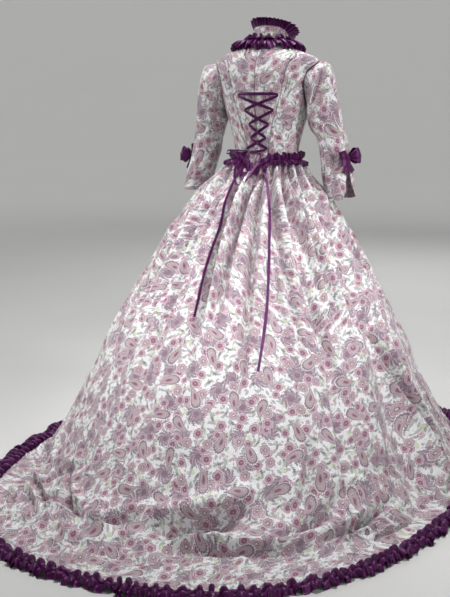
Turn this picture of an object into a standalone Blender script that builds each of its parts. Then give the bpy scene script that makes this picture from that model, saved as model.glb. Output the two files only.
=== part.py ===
"""A Victorian style dress with a train, in its worn shape with nobody in it.

Metres, +Z up. The wearer faces -Y and the train runs out to +Y. Heights in the tables are above the
floor. The origin is the middle of the wearer's shoulder line, which carries the dress.
A turn is an angle round the body in degrees: 0 at the centre back, 90 at the wearer's left side,
-90 at the right side and 180 at the centre front. A station counts down the rows of FORM.
"""

import math
from collections import namedtuple

import bmesh
import bpy
from mathutils import Vector
from mathutils.bvhtree import BVHTree

# Cloth
CLOTH = 0.0016
RIBBON = 0.0012
SEAM_GAP = 0.0003
ORIGIN_HEIGHT = 1.40
FLOOR_CLEARANCE = 0.0006

# Fold counts
SKIRT_GATHERS = 28
HEM_WAVES = 78
WAIST_WAVES = 30
COLLAR_WAVES = 24
NECK_WAVES = 30
STEPS_PER_WAVE = 4
NECK_STEPS_PER_WAVE = 3

# The outline of the whole dress, neck to hem. front_drop lowers a row's front.
Section = namedtuple("Section", "height half_width front back centre_y power front_drop")
FORM = [
    Section(1.432, 0.064, 0.056, 0.062, -0.018, 2.0, 0.045),
    Section(1.407, 0.120, 0.076, 0.088, -0.006, 2.0, 0.032),
    Section(1.367, 0.186, 0.090, 0.106, 0.000, 2.0, 0.014),
    Section(1.310, 0.168, 0.112, 0.118, 0.000, 2.2, 0.000),
    Section(1.210, 0.146, 0.136, 0.112, 0.000, 2.2, 0.000),
    Section(1.130, 0.123, 0.108, 0.096, 0.000, 2.1, 0.000),
    Section(1.065, 0.113, 0.088, 0.088, 0.000, 2.0, 0.000),
    Section(1.020, 0.123, 0.104, 0.108, 0.008, 2.0, 0.000),
    Section(0.975, 0.148, 0.132, 0.148, 0.020, 2.0, 0.000),
    Section(0.900, 0.214, 0.200, 0.214, 0.048, 2.0, 0.000),
    Section(0.780, 0.297, 0.268, 0.319, 0.053, 2.0, 0.000),
    Section(0.600, 0.407, 0.380, 0.433, 0.065, 2.0, 0.000),
    Section(0.430, 0.504, 0.503, 0.529, 0.083, 2.0, 0.000),
    Section(0.270, 0.572, 0.600, 0.628, 0.083, 2.0, 0.000),
    Section(0.140, 0.640, 0.690, 0.708, 0.085, 2.0, 0.000),
    Section(0.050, 0.692, 0.764, 0.790, 0.088, 2.1, 0.000),
    Section(0.008, 0.730, 0.790, 0.930, 0.060, 2.2, 0.000),
    Section(0.0024, 0.762, 0.785, 1.150, 0.030, 2.4, 0.000),
]
NECK, MID_SHOULDER, SHOULDER_TIP, UNDERARM, WAIST = 0, 1, 2, 4, 6
HEM = len(FORM) - 1

# The bodice's lower edge, which dips to a point at the centre back and the centre front.
EDGE_HEIGHT = 1.036
Point = namedtuple("Point", "turn reach drop")
EDGE_POINTS = [Point(0, 27, 0.052), Point(180, 34, 0.060)]

# The back princess seams, from the bodice's lower edge to the middle of each shoulder.
SeamPoint = namedtuple("SeamPoint", "station turn")
PRINCESS = [
    SeamPoint(6.65, 17.5),
    SeamPoint(WAIST, 18.5),
    SeamPoint(5.0, 21.0),
    SeamPoint(4.0, 28.0),
    SeamPoint(3.6, 31.5),
    SeamPoint(3.0, 33.0),
    SeamPoint(2.0, 37.0),
    SeamPoint(1.5, 50.0),
    SeamPoint(1.2, 66.0),
    SeamPoint(MID_SHOULDER, 90.0),
]
ARMHOLE_BACK = 25.0
ARMHOLE_FRONT = 31.0

# Turns of the points along each bodice panel's lower edge.
BACK_EDGE = [0, 3, 6, 9, 12, 15, 17.5]
SIDE_BACK_EDGE = [17.5, 22, 27, 42, 58, 74, 90]
FRONT_EDGE = [90, 105, 120, 133, 146, 152, 160, 170, 180]
WAIST_SEAM_GAP = 0.0010

# Stations of the points up each seam, from the bodice's lower edge.
CENTRE_BACK_ROWS = [7.4, 6.8, 6.35, 5.9, 5.3, 4.5, 3.7, 2.8, 1.9, 1.2, 0.6, NECK]
PRINCESS_ROWS = [6.55, 6.25, 5.95, 5.5, 4.8, 4.1, 3.3, 2.3, 1.5]
SIDE_ROWS = [6.35, 6.0, 5.2]
CENTRE_FRONT_ROWS = [
    7.2, 6.4, 5.6, 4.4, 4.0, 3.6, 3.2, 2.8, 2.4, 2.1, 1.8, 1.55, 1.3, 1.05, 0.8, 0.55, 0.3, NECK,
]

# Depth of the skirt's gathers down the skirt.
Depth = namedtuple("Depth", "station depth")
GATHER_DEPTHS = [
    Depth(6.5, 0.0042),
    Depth(8.0, 0.0060),
    Depth(9.0, 0.0090),
    Depth(10.0, 0.0100),
    Depth(11.0, 0.0070),
    Depth(12.0, 0.0035),
    Depth(13.0, 0.0010),
    Depth(14.0, 0.0000),
    Depth(HEM, 0.0000),
]

# The largest folds of the skirt. slant is degrees of turn for each station down.
Fold = namedtuple("Fold", "turn station turn_width station_width slant rise")
FOLDS = [
    Fold(-84, 13.2, 5.5, 3.2, 1.5, 0.034),
    Fold(-72, 13.6, 5.0, 3.0, 1.2, -0.030),
    Fold(-57, 13.0, 6.0, 2.2, 0.0, 0.014),
    Fold(78, 13.4, 5.5, 2.8, -1.5, 0.030),
    Fold(66, 14.2, 5.0, 2.2, -1.0, -0.028),
    Fold(48, 14.0, 7.0, 1.8, -1.0, 0.012),
    Fold(30, 10.4, 4.5, 1.3, 1.0, -0.014),
    Fold(-30, 10.6, 4.5, 1.5, -1.0, -0.014),
    Fold(-14, 10.2, 4.5, 1.1, 0.0, -0.012),
    Fold(12, 15.7, 17.0, 0.30, 0.0, 0.026),
    Fold(-22, 15.5, 15.0, 0.32, 6.0, 0.030),
    Fold(34, 16.2, 12.0, 0.22, -4.0, 0.016),
    Fold(-6, 16.3, 16.0, 0.20, 0.0, 0.014),
    Fold(-44, 15.4, 8.0, 0.35, 5.0, 0.018),
    Fold(118, 13.5, 7.0, 2.6, 0.0, 0.018),
    Fold(-122, 13.3, 7.0, 2.6, 0.0, 0.020),
    Fold(150, 13.8, 6.0, 2.4, 0.0, 0.015),
    Fold(-155, 13.6, 6.0, 2.4, 0.0, 0.014),
]

# Skirt panels, from seam to seam.
Panel = namedtuple("Panel", "name start end")
SKIRT_PANELS = [
    Panel("skirt_back", -48, 48),
    Panel("skirt_side_left", 48, 132),
    Panel("skirt_front", 132, 228),
    Panel("skirt_side_right", 228, 312),
]
SKIRT_STATIONS = [None, 8, 9, 10, 11, 12, 13, 14, 15, 15.7, 16.3, HEM]
TURN_STEP = 360 / (SKIRT_GATHERS * STEPS_PER_WAVE)

# Sleeve sections down the arm. side is the distance from the body's middle, and tilt raises the outside of the arm.
Sleeve = namedtuple("Sleeve", "side centre_y height outward foreaft tilt")
SLEEVE_LEFT = [
    Sleeve(0.187, 0.003, 1.280, 0.034, 0.066, 0.077),
    Sleeve(0.197, 0.003, 1.246, 0.046, 0.067, 0.068),
    Sleeve(0.206, 0.002, 1.204, 0.051, 0.064, 0.044),
    Sleeve(0.215, -0.002, 1.156, 0.051, 0.060, 0.018),
    Sleeve(0.226, -0.008, 1.105, 0.050, 0.058, 0.000),
    Sleeve(0.240, -0.012, 1.050, 0.050, 0.058, 0.000),
    Sleeve(0.257, -0.018, 0.998, 0.048, 0.060, 0.000),
    Sleeve(0.272, -0.024, 0.960, 0.045, 0.062, 0.000),
    Sleeve(0.284, -0.028, 0.925, 0.042, 0.063, 0.000),
]
SLEEVE_RIGHT = [
    Sleeve(0.186, 0.003, 1.280, 0.033, 0.065, 0.077),
    Sleeve(0.194, 0.003, 1.246, 0.043, 0.066, 0.068),
    Sleeve(0.203, 0.002, 1.204, 0.048, 0.062, 0.044),
    Sleeve(0.216, -0.003, 1.156, 0.051, 0.058, 0.018),
    Sleeve(0.232, -0.010, 1.105, 0.050, 0.056, 0.000),
    Sleeve(0.243, -0.014, 1.048, 0.050, 0.057, 0.000),
    Sleeve(0.250, -0.020, 0.990, 0.051, 0.060, 0.000),
    Sleeve(0.255, -0.026, 0.945, 0.052, 0.063, 0.000),
    Sleeve(0.258, -0.030, 0.906, 0.052, 0.065, 0.000),
]
SLEEVE_COLUMNS = 24
SLEEVE_SLIT_ROW = 6
SLEEVE_SLIT = [0, 9, 19, 36]
SLIT_TURN_LEFT = 0
SLIT_TURN_RIGHT = 24

# The stand collar and the ruffles.
COLLAR_RISE_BACK = 0.050
COLLAR_RISE_FRONT = 0.026
COLLAR_LEAN = 0.010
COLLAR_OPENING = 1.2
COLLAR_FRILL_RISE = 0.027
COLLAR_FRILL_FLARE = 0.011
COLLAR_LOPSIDED = 0.55
COLLAR_DROOP = 0.004
Frill = namedtuple("Frill", "offset lift wave")
NECK_FRILL = [Frill(-0.36, 0.0170, 0.0055), Frill(0.10, 0.0030, 0.0007), Frill(1.05, 0.0140, 0.0058)]
WAIST_FRILL = [Frill(-0.024, 0.0120, 0.0060), Frill(0.0, 0.0095, 0.0025), Frill(0.024, 0.0200, 0.0070)]
HEM_FRILL = [Frill(0.0008, 0.0027, 0.0004), Frill(0.052, 0.0120, 0.0090)]
HEM_FRILL_PARTS = 4

# The back lacing, from the top row of loops down. left and right are the loops' distances from the centre back.
Lacing = namedtuple("Lacing", "height left right")
LACING = [
    Lacing(1.252, 0.064, 0.084),
    Lacing(1.205, 0.040, 0.066),
    Lacing(1.158, 0.027, 0.046),
    Lacing(1.112, 0.024, 0.034),
    Lacing(1.076, 0.042, 0.037),
]
LACE_WIDTH = 0.010
LACE_PINCHED = 0.003
LACE_LOW = 0.0020
LACE_SEAT = 0.0011
LACE_HIGH = 0.0075

LACE_KNOT = (0.040, 1.066)
LACE_KNOT_SIZE = (0.012, 0.011, 0.014)

# The loops of the lace's own bow over the waist frill. lift is the distance from the dress.
Hang = namedtuple("Hang", "turn height lift width")
LACE_LOOP_SIDE = [
    Hang(24.05, 1.0680, 0.0080, 0.004),
    Hang(34, 1.0710, 0.0190, 0.005),
    Hang(48, 1.0710, 0.0275, 0.006),
    Hang(60, 1.0670, 0.0290, 0.005),
    Hang(66, 1.0560, 0.0295, 0.004),
    Hang(60, 1.0450, 0.0300, 0.005),
    Hang(48, 1.0450, 0.0305, 0.006),
    Hang(37, 1.0530, 0.0295, 0.005),
    Hang(28, 1.0610, 0.0200, 0.004),
    Hang(23.5, 1.0628, 0.0100, 0.003),
]
LACE_LOOP_DOWN = [
    Hang(20.6, 1.0582, 0.0070, 0.004),
    Hang(20.8, 1.0558, 0.0150, 0.004),
    Hang(21.2, 1.0505, 0.0265, 0.005),
    Hang(22.0, 1.0440, 0.0310, 0.006),
    Hang(22.5, 1.0280, 0.0320, 0.007),
    Hang(20, 1.0050, 0.0310, 0.008),
    Hang(14, 0.9750, 0.0330, 0.008),
    Hang(9, 0.9540, 0.0300, 0.008),
    Hang(4, 0.9430, 0.0240, 0.007),
    Hang(-1, 0.9440, 0.0240, 0.007),
    Hang(-5, 0.9580, 0.0310, 0.008),
    Hang(-7, 0.9800, 0.0330, 0.008),
    Hang(-10, 1.0100, 0.0310, 0.008),
    Hang(-11, 1.0350, 0.0230, 0.007),
    Hang(-8, 1.0500, 0.0170, 0.006),
    Hang(-1, 1.0575, 0.0090, 0.006),
    Hang(8, 1.0580, 0.0070, 0.005),
    Hang(17.2, 1.0628, 0.0070, 0.003),
]

# The free ends of the lace, down the skirt.
Way = namedtuple("Way", "turn station")
LACE_ENDS = {
    "lace_end_left": [Way(12.0, 7.55), Way(11.0, 8.05), Way(6.5, 9.0), Way(4.3, 9.74), Way(4.2, 10.5), Way(3.6, 11.17)],
    "lace_end_right": [Way(-18.0, 7.25), Way(-20.5, 7.6), Way(-27.0, 8.5), Way(-29.4, 9.6), Way(-28.0, 10.6), Way(-24.0, 11.98)],
}
LACE_END_LIFT = 0.0014
LACE_END_STEPS = 24
LACE_END_REACH = 0.075

# The sleeve bows, one loop forward and one back. off is away from the knot and out is away from the arm.
Loop = namedtuple("Loop", "off out width")
BOW_LOOP = [
    Loop(0.0074, 0.0040, 0.014),
    Loop(0.0200, 0.0030, 0.032),
    Loop(0.0360, 0.0040, 0.050),
    Loop(0.0460, 0.0100, 0.056),
    Loop(0.0450, 0.0210, 0.056),
    Loop(0.0310, 0.0265, 0.050),
    Loop(0.0180, 0.0190, 0.032),
    Loop(0.0072, 0.0098, 0.014),
]
Tail = namedtuple("Tail", "off down width")
BOW_TAIL = [
    Tail(0.0035, 0.0101, 0.006),
    Tail(0.0060, 0.0240, 0.012),
    Tail(0.0120, 0.0370, 0.018),
    Tail(0.0190, 0.0520, 0.022),
]
BOW_KNOT = (0.016, 0.022, 0.013)
BOW_CLEARANCE = 0.0005


def sign_power(value, power):
    return math.copysign(abs(value) ** power, value)


def slope(before, after):
    """The slope that keeps a curve between its rows from overshooting."""
    return 2 * before * after / (before + after) if before * after > 0 else 0.0


def smooth(values, at):
    """The value at a fractional row, on a curve that never leaves the range of the rows beside it."""
    at = min(max(at, 0.0), len(values) - 1.0)
    row = min(int(at), len(values) - 2)
    part = at - row
    step = [b - a for a, b in zip(values, values[1:])]
    first = slope(step[row - 1], step[row]) if row else step[0]
    second = slope(step[row], step[row + 1]) if row + 1 < len(step) else step[-1]
    a, b = values[row], values[row + 1]
    square, cube = part * part, part * part * part
    return (
        a * (2 * cube - 3 * square + 1)
        + b * (3 * square - 2 * cube)
        + first * (cube - 2 * square + part)
        + second * (cube - square)
    )


FORM_COLUMNS = list(zip(*FORM))


def section_at(station):
    return Section(*(smooth(column, station) for column in FORM_COLUMNS))


def lookup(rows, at):
    """A two column table read in straight lines."""
    for (a, value_a), (b, value_b) in zip(rows, rows[1:]):
        if min(a, b) <= at <= max(a, b):
            return value_a + (value_b - value_a) * (at - a) / (b - a)
    return rows[0][1] if abs(at - rows[0][0]) < abs(at - rows[-1][0]) else rows[-1][1]


def form_point(turn, station):
    """A point of the dress's plain outline, before gathers and folds."""
    row = section_at(station)
    angle = math.radians(turn)
    across, along = math.sin(angle), math.cos(angle)
    depth = row.back if along > 0 else row.front
    frontness = ((1 - along) / 2) ** 2
    return Vector((
        row.half_width * sign_power(across, 2 / row.power),
        row.centre_y + depth * sign_power(along, 2 / row.power),
        row.height - row.front_drop * frontness,
    ))


def form_normal(turn, station):
    """The outward normal of the plain outline."""
    turn_step, station_step = 0.5, 0.02
    low, high = max(station - station_step, 0), min(station + station_step, HEM)
    round_it = form_point(turn + turn_step, station) - form_point(turn - turn_step, station)
    down_it = form_point(turn, high) - form_point(turn, low)
    return round_it.cross(down_it).normalized()


def station_at(height):
    """The station below the shoulders where the outline has this height."""
    low, high = float(SHOULDER_TIP), float(HEM)
    for _ in range(40):
        middle = (low + high) / 2
        if section_at(middle).height > height:
            low = middle
        else:
            high = middle
    return (low + high) / 2


def turn_at(x, station):
    """The turn on the back half where the outline is x to the wearer's left."""
    row = section_at(station)
    return math.degrees(math.asin(min(1.0, abs(x) / row.half_width) ** (row.power / 2))) * (1 if x > 0 else -1)


def wrapped(turn):
    return (turn + 180) % 360 - 180


def edge_height(turn):
    """Height of the bodice's lower edge."""
    drop = sum(
        point.drop * max(0.0, 1 - abs(wrapped(turn - point.turn)) / point.reach) ** 1.25 for point in EDGE_POINTS
    )
    return EDGE_HEIGHT - drop


def edge_station(turn):
    return station_at(edge_height(turn))


def gather(turn, station):
    """How far the gathers stand out of the outline."""
    uneven = 0.78 + 0.16 * math.sin(math.radians(5 * turn + 40)) + 0.10 * math.sin(math.radians(11 * turn))
    wave = math.cos(math.radians(SKIRT_GATHERS * turn + 180 / STEPS_PER_WAVE))
    return lookup(GATHER_DEPTHS, station) * 1.3 * uneven * wave


def ripple(step, steps_per_wave):
    """A frill's wave at a step round it, with its crest between two steps."""
    return math.cos(math.radians(360 * step / steps_per_wave + 180 / steps_per_wave))


def fold(turn, station):
    """How far the large folds stand out of the outline."""
    total = 0.0
    for row in FOLDS:
        down = (station - row.station) / row.station_width
        around = wrapped(turn - row.turn - row.slant * (station - row.station)) / row.turn_width
        total += row.rise * math.exp(-around * around - down * down)
    fade = min(1.0, max(0.0, (HEM - station) / 0.5))
    return total * fade


def skirt_point(turn, station):
    """A point of the skirt's outer face, with its gathers and folds, never under the floor."""
    out = gather(turn, station) + fold(turn, station)
    point = form_point(turn, station) + form_normal(turn, station) * out
    point.z = max(point.z, CLOTH + FLOOR_CLEARANCE)
    return point


def skirt_station(turn, row):
    """Stations of the skirt's rows: the first follows the bodice's edge, and the next ones ease out of its dip."""
    top = station_at(edge_height(turn) - WAIST_SEAM_GAP)
    if row == 0:
        return top
    plain = SKIRT_STATIONS[row]
    return plain + max(0.0, top + 0.35 * row - plain)


def make_object(name, mesh_maker, material):
    """Adds one named object from a filled bmesh, with its faces turned out."""
    mesh = bpy.data.meshes.new(name)
    shape = bmesh.new()
    mesh_maker(shape)
    bmesh.ops.remove_doubles(shape, verts=shape.verts, dist=1e-6)
    bmesh.ops.recalc_face_normals(shape, faces=shape.faces)
    shape.to_mesh(mesh)
    shape.free()
    mesh.materials.append(material)
    mesh.shade_smooth()
    mesh.set_sharp_from_angle(angle=math.radians(50))
    made = bpy.data.objects.new(name, mesh)
    made.location.z = -ORIGIN_HEIGHT
    PARTS.objects.link(made)
    return made


def wall(name, outer, inner, material, wraps=0):
    """A cloth wall between two grids of points, rows by columns. Its first wraps row steps close round on themselves,
    where the grid's last column repeats its first."""
    rows, columns = len(outer), len(outer[0])

    def fill(shape):
        sides = [[[shape.verts.new(point) for point in row] for row in grid] for grid in (outer, inner)]

        def quad(a, b, c, d):
            shape.faces.new((a, b, c))
            shape.faces.new((a, c, d))

        for i in range(rows - 1):
            for j in range(columns - 1):
                for grid in sides:
                    quad(grid[i][j], grid[i][j + 1], grid[i + 1][j + 1], grid[i + 1][j])
            if i >= wraps:
                for j in (0, columns - 1):
                    quad(sides[0][i][j], sides[0][i + 1][j], sides[1][i + 1][j], sides[1][i][j])
        for i in (0, rows - 1):
            for j in range(columns - 1):
                quad(sides[0][i][j], sides[0][i][j + 1], sides[1][i][j + 1], sides[1][i][j])

    return make_object(name, fill, material)


def inner_face(outer, thickness, wraps=0):
    """A grid's other face, moved in by the thickness along the normals of the faces round each point.
    The rows up to wraps are closed round."""
    rows, columns = len(outer), len(outer[0])
    faces = [
        [
            (outer[i][j + 1] - outer[i + 1][j]).cross(outer[i + 1][j + 1] - outer[i][j]).normalized()
            for j in range(columns - 1)
        ]
        for i in range(rows - 1)
    ]
    inner = []
    for i in range(rows):
        line = []
        for j in range(columns):
            beside = []
            for k in (i - 1, i):
                if not 0 <= k < rows - 1:
                    continue
                for m in (j - 1, j):
                    if 0 <= m < columns - 1:
                        beside.append(faces[k][m])
                    elif i <= wraps and wraps:
                        beside.append(faces[k][m % (columns - 1)])
            normal = sum(beside, Vector()).normalized()
            lean = max(0.8, sum(normal.dot(face) for face in beside) / len(beside))
            line.append(outer[i][j] - normal * (thickness / lean))
        if i <= wraps and wraps:
            line[-1] = line[0].copy()
        inner.append(line)
    return inner


def above_floor(point):
    return Vector((point.x, point.y, max(point.z, FLOOR_CLEARANCE)))


def drawn_in(grid, shifts, amount):
    """The grid with its four sides moved into the panel, to leave half a seam gap. shifts is the grid to measure on."""
    rows, columns = len(shifts), len(shifts[0])
    moved = [[point.copy() for point in row] for row in grid]

    def shift(i, j, inner_i, inner_j, before, after):
        line = (after - before).normalized()
        way = shifts[inner_i][inner_j] - shifts[i][j]
        way = way - line * way.dot(line)
        if way.length > 1e-9:
            moved[i][j] += way.normalized() * amount

    for i in range(rows):
        above, below = max(i - 1, 0), min(i + 1, rows - 1)
        for j, beside in ((0, 1), (columns - 1, columns - 2)):
            shift(i, j, i, beside, shifts[above][j], shifts[below][j])
    for j in range(columns):
        before, after = max(j - 1, 0), min(j + 1, columns - 1)
        for i, beside in ((0, 1), (rows - 1, rows - 2)):
            shift(i, j, beside, j, shifts[i][before], shifts[i][after])
    return moved


def form_wall(name, turns_and_stations, point_of, material):
    """A wall whose outer face is point_of each turn and station, and whose thickness goes inwards."""
    outer = [[point_of(turn, station) for turn, station in row] for row in turns_and_stations]
    inner = [
        [point - form_normal(turn, station) * CLOTH for point, (turn, station) in zip(points, row)]
        for points, row in zip(outer, turns_and_stations)
    ]
    gap = SEAM_GAP * 0.55
    inner = [[above_floor(point) for point in row] for row in drawn_in(inner, outer, gap)]
    wall(name, drawn_in(outer, outer, gap), inner, material)
    return outer


def patch(bottom, top, left, right):
    """A grid of (turn, station) pairs filled in between its four sides, which share their corners."""
    columns, rows = len(bottom) - 1, len(left) - 1
    corners = bottom[0], bottom[-1], top[0], top[-1]
    grid = []
    for i in range(rows + 1):
        v = i / rows
        line = []
        for j in range(columns + 1):
            u = j / columns
            sides = zip(bottom[j], top[j], left[i], right[i], *corners)
            line.append(tuple(
                (1 - v) * low + v * high + (1 - u) * near + u * far
                - (1 - u) * (1 - v) * c0 - u * (1 - v) * c1 - (1 - u) * v * c2 - u * v * c3
                for low, high, near, far, c0, c1, c2, c3 in sides
            ))
        grid.append(line)
    return grid


def spread(first, last, steps):
    """Pairs in even steps from the first to the last."""
    return [tuple(a + (b - a) * i / steps for a, b in zip(first, last)) for i in range(steps + 1)]


def lower_edge(turns):
    return [(turn, edge_station(turn)) for turn in turns]


def resampled(path, steps):
    """A path of pairs cut into equal steps of its length on the dress."""
    points = [form_point(turn, station) for turn, station in path]
    lengths = [0.0]
    for a, b in zip(points, points[1:]):
        lengths.append(lengths[-1] + (b - a).length)
    made = []
    for i in range(steps + 1):
        at = lengths[-1] * i / steps
        j = max(k for k in range(len(path) - 1) if lengths[k] <= at + 1e-9)
        share = (at - lengths[j]) / (lengths[j + 1] - lengths[j])
        made.append(tuple(a + (b - a) * share for a, b in zip(path[j], path[j + 1])))
    return made


def armhole(reach, steps=6):
    """One side of the armhole, from the underarm to the shoulder tip."""
    fine = []
    for i in range(33):
        share = i / 32
        fine.append((90 + reach * math.sin(math.pi * share) ** 0.85, UNDERARM + (SHOULDER_TIP - UNDERARM) * share))
    return resampled(fine, steps)


def side_and_armhole(reach):
    """The side seam from the bodice's edge to the underarm, and then the armhole up to the shoulder tip."""
    return [(90, station) for station in [edge_station(90)] + SIDE_ROWS] + armhole(reach)


def bodice(print_cloth):
    """Six panels: two centre backs, two side backs and two fronts. Panels share the points of their seams.
    Returns their outer faces for what lies on them."""
    start = BACK_EDGE[-1]
    table = [(row.station, row.turn) for row in PRINCESS]
    seam = [(start, edge_station(start))] + [(lookup(table, station), station) for station in PRINCESS_ROWS]
    seam.append((90, MID_SHOULDER))
    shoulder = spread((90, SHOULDER_TIP), (90, MID_SHOULDER), 6)
    shoulder_top = spread((90, MID_SHOULDER), (90, NECK), 2)
    panels = {
        "bodice_back": patch(
            lower_edge(BACK_EDGE),
            spread((0, NECK), (90, NECK), 6),
            [(0, station) for station in [edge_station(0)] + CENTRE_BACK_ROWS],
            seam + shoulder_top[1:],
        ),
        "bodice_side_back": patch(
            lower_edge(SIDE_BACK_EDGE),
            shoulder[::-1],
            seam,
            side_and_armhole(-ARMHOLE_BACK),
        ),
        "bodice_front": patch(
            lower_edge(FRONT_EDGE),
            spread((90, NECK), (180, NECK), 8),
            side_and_armhole(ARMHOLE_FRONT) + shoulder[1:] + shoulder_top[1:],
            [(180, station) for station in [edge_station(180)] + CENTRE_FRONT_ROWS],
        ),
    }
    faces = []
    for name, grid in panels.items():
        for side, mirror in (("left", 1), ("right", -1)):
            turned = [[(mirror * turn, station) for turn, station in row] for row in grid]
            faces.append(form_wall(f"{name}_{side}", turned, form_point, print_cloth))
    return faces


def skirt(print_cloth):
    """Gathered to the bodice's edge, in four panels. Returns their outer faces for what lies on them."""
    faces = []
    for panel in SKIRT_PANELS:
        first = math.ceil(panel.start / TURN_STEP - 1e-6)
        last = math.floor(panel.end / TURN_STEP + 1e-6)
        turns = [i * TURN_STEP for i in range(first, last + 1)]
        turns = [panel.start] + [turn for turn in turns if panel.start + 0.8 < turn < panel.end - 0.8] + [panel.end]
        grid = [[(turn, skirt_station(turn, row)) for turn in turns] for row in range(len(SKIRT_STATIONS))]
        faces.append(form_wall(panel.name, grid, skirt_point, print_cloth))
    return faces


def armhole_ring(side):
    """The sleeve's first row: the armhole's points, drawn in by the seam gap and set just outside it.
    It starts on the outside of the arm, at the shoulder tip, and goes round by the back."""
    back = armhole(-ARMHOLE_BACK)
    front = armhole(ARMHOLE_FRONT)
    loop = list(reversed(back)) + front[1:]
    points = [form_point(turn, station) for turn, station in loop]
    points[-1] = points[0].copy()
    middle = sum(points[:-1], Vector()) / (len(points) - 1)
    ring = []
    for i in range(SLEEVE_COLUMNS + 1):
        at = (i / SLEEVE_COLUMNS) * (len(points) - 1)
        j = min(int(at), len(points) - 2)
        point = points[j].lerp(points[j + 1], at - j)
        inward = (middle - point).normalized()
        point = point + inward * (SEAM_GAP * 2) + Vector((SEAM_GAP * 2, 0, 0))
        ring.append(Vector((side * point.x, point.y, point.z)))
    ring[-1] = ring[0].copy()
    return ring


def sleeve_grid(side, rows, slit_turn):
    """The outer face of a sleeve, with a slit up its outer side below the bow.
    slit_turn is how far the slit lies towards the back of the arm."""
    ring = armhole_ring(side)
    outer = [ring]
    for number, row in enumerate(rows, start=1):
        half_slit = SLEEVE_SLIT[number - SLEEVE_SLIT_ROW] if number >= SLEEVE_SLIT_ROW else 0
        line = []
        for i in range(SLEEVE_COLUMNS + 1):
            start = slit_turn * min(1.0, number / SLEEVE_SLIT_ROW)
            angle = start + half_slit + (360 - 2 * half_slit) * i / SLEEVE_COLUMNS
            out, back = math.cos(math.radians(angle)), math.sin(math.radians(angle))
            rounding = 0.014 * max(0.0, out) ** 3 if number == len(rows) else 0.0
            height = row.height + row.tilt * out + rounding
            line.append(Vector((side * (row.side + row.outward * out), row.centre_y + row.foreaft * back, height)))
        if not half_slit:
            line[-1] = line[0].copy()
        outer.append(line)
    return outer


def sleeves(print_cloth):
    for name, side, rows, slit_turn in (
        ("sleeve_left", 1, SLEEVE_LEFT, SLIT_TURN_LEFT),
        ("sleeve_right", -1, SLEEVE_RIGHT, SLIT_TURN_RIGHT),
    ):
        outer = sleeve_grid(side, rows, slit_turn)
        inner = inner_face(outer, -side * CLOTH, wraps=SLEEVE_SLIT_ROW)
        wall(name, outer, inner, print_cloth, wraps=SLEEVE_SLIT_ROW)


def collar_point(turn, share):
    """The stand collar, from the neck seam at share 0 to its top edge at share 1."""
    base = form_point(turn, NECK)
    frontness = (1 - math.cos(math.radians(turn))) / 2
    rise = COLLAR_RISE_BACK + (COLLAR_RISE_FRONT - COLLAR_RISE_BACK) * frontness
    row = FORM[NECK]
    centre = Vector((0, row.centre_y, base.z))
    return centre + (base - centre) * (1 - 0.07 * share) + Vector((0, -COLLAR_LEAN * share, rise * share + SEAM_GAP * 3))


def outward(turn):
    return Vector((math.sin(math.radians(turn)), math.cos(math.radians(turn)), 0))


def open_turns(steps):
    """Turns round the neck from one side of the front opening to the other."""
    start = -180 + COLLAR_OPENING
    return [start + (360 - 2 * COLLAR_OPENING) * i / steps for i in range(steps + 1)]


def collar(print_cloth, satin):
    """The stand collar, the frill on its top edge and the deeper frill round the neck seam, all open at the front.
    The top frill droops and opens out on the wearer's right."""
    turns = open_turns(36)
    rows = [0, 1]
    outer = [[collar_point(turn, share) for turn in turns] for share in rows]
    inner = [[collar_point(turn, share) - outward(turn) * CLOTH for turn in turns] for share in rows]
    wall("collar_stand", outer, inner, print_cloth)

    turns = open_turns(COLLAR_WAVES * NECK_STEPS_PER_WAVE)
    outer = []
    for share in (0, 1):
        line = []
        for i, turn in enumerate(turns):
            wave = ripple(i, NECK_STEPS_PER_WAVE) * (0.0006 + 0.0046 * share)
            rightward = -math.sin(math.radians(turn))
            flare = COLLAR_FRILL_FLARE * share * (1.8 - 0.8 * math.cos(math.radians(turn))) * (1 + COLLAR_LOPSIDED * rightward)
            rise = COLLAR_FRILL_RISE - COLLAR_DROOP * rightward
            up = Vector((0, -COLLAR_LEAN * 0.4 * share, SEAM_GAP + rise * share))
            line.append(collar_point(turn, 1) + outward(turn) * (flare + wave) + up)
        outer.append(line)
    wall("collar_frill", outer, inner_face(outer, -RIBBON), satin)

    turns = open_turns(NECK_WAVES * NECK_STEPS_PER_WAVE)
    outer = []
    for row in NECK_FRILL:
        line = []
        for i, turn in enumerate(turns):
            wave = row.wave * ripple(i, NECK_STEPS_PER_WAVE)
            if row.offset < 0:
                point, normal = collar_point(turn, -row.offset), outward(turn)
            else:
                point, normal = form_point(turn, row.offset), form_normal(turn, row.offset)
            line.append(point + normal * (row.lift + wave))
        outer.append(line)
    wall("neck_frill", outer, inner_face(outer, RIBBON), satin)


def waist_frill(surface, satin):
    """A ruched band over the waist seam. Its upper half lies on the bodice and its lower half on the skirt."""
    steps = WAIST_WAVES * STEPS_PER_WAVE
    outer = []
    for row in WAIST_FRILL:
        line = []
        for i in range(steps + 1):
            turn = -180 + 360 * i / steps
            wave = row.wave * ripple(i, STEPS_PER_WAVE)
            station = station_at(edge_height(turn) - row.offset)
            plain = form_point(turn, station)
            point, normal = laid_on(surface, turn, station)
            if row.offset > 0 or (point - plain).dot(normal) < 0:
                point = plain
            line.append(point + normal * (row.lift + wave))
        line[-1] = line[0].copy()
        outer.append(line)
    rows = len(WAIST_FRILL) - 1
    wall("waist_frill", outer, inner_face(outer, RIBBON, wraps=rows), satin, wraps=rows)


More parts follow.
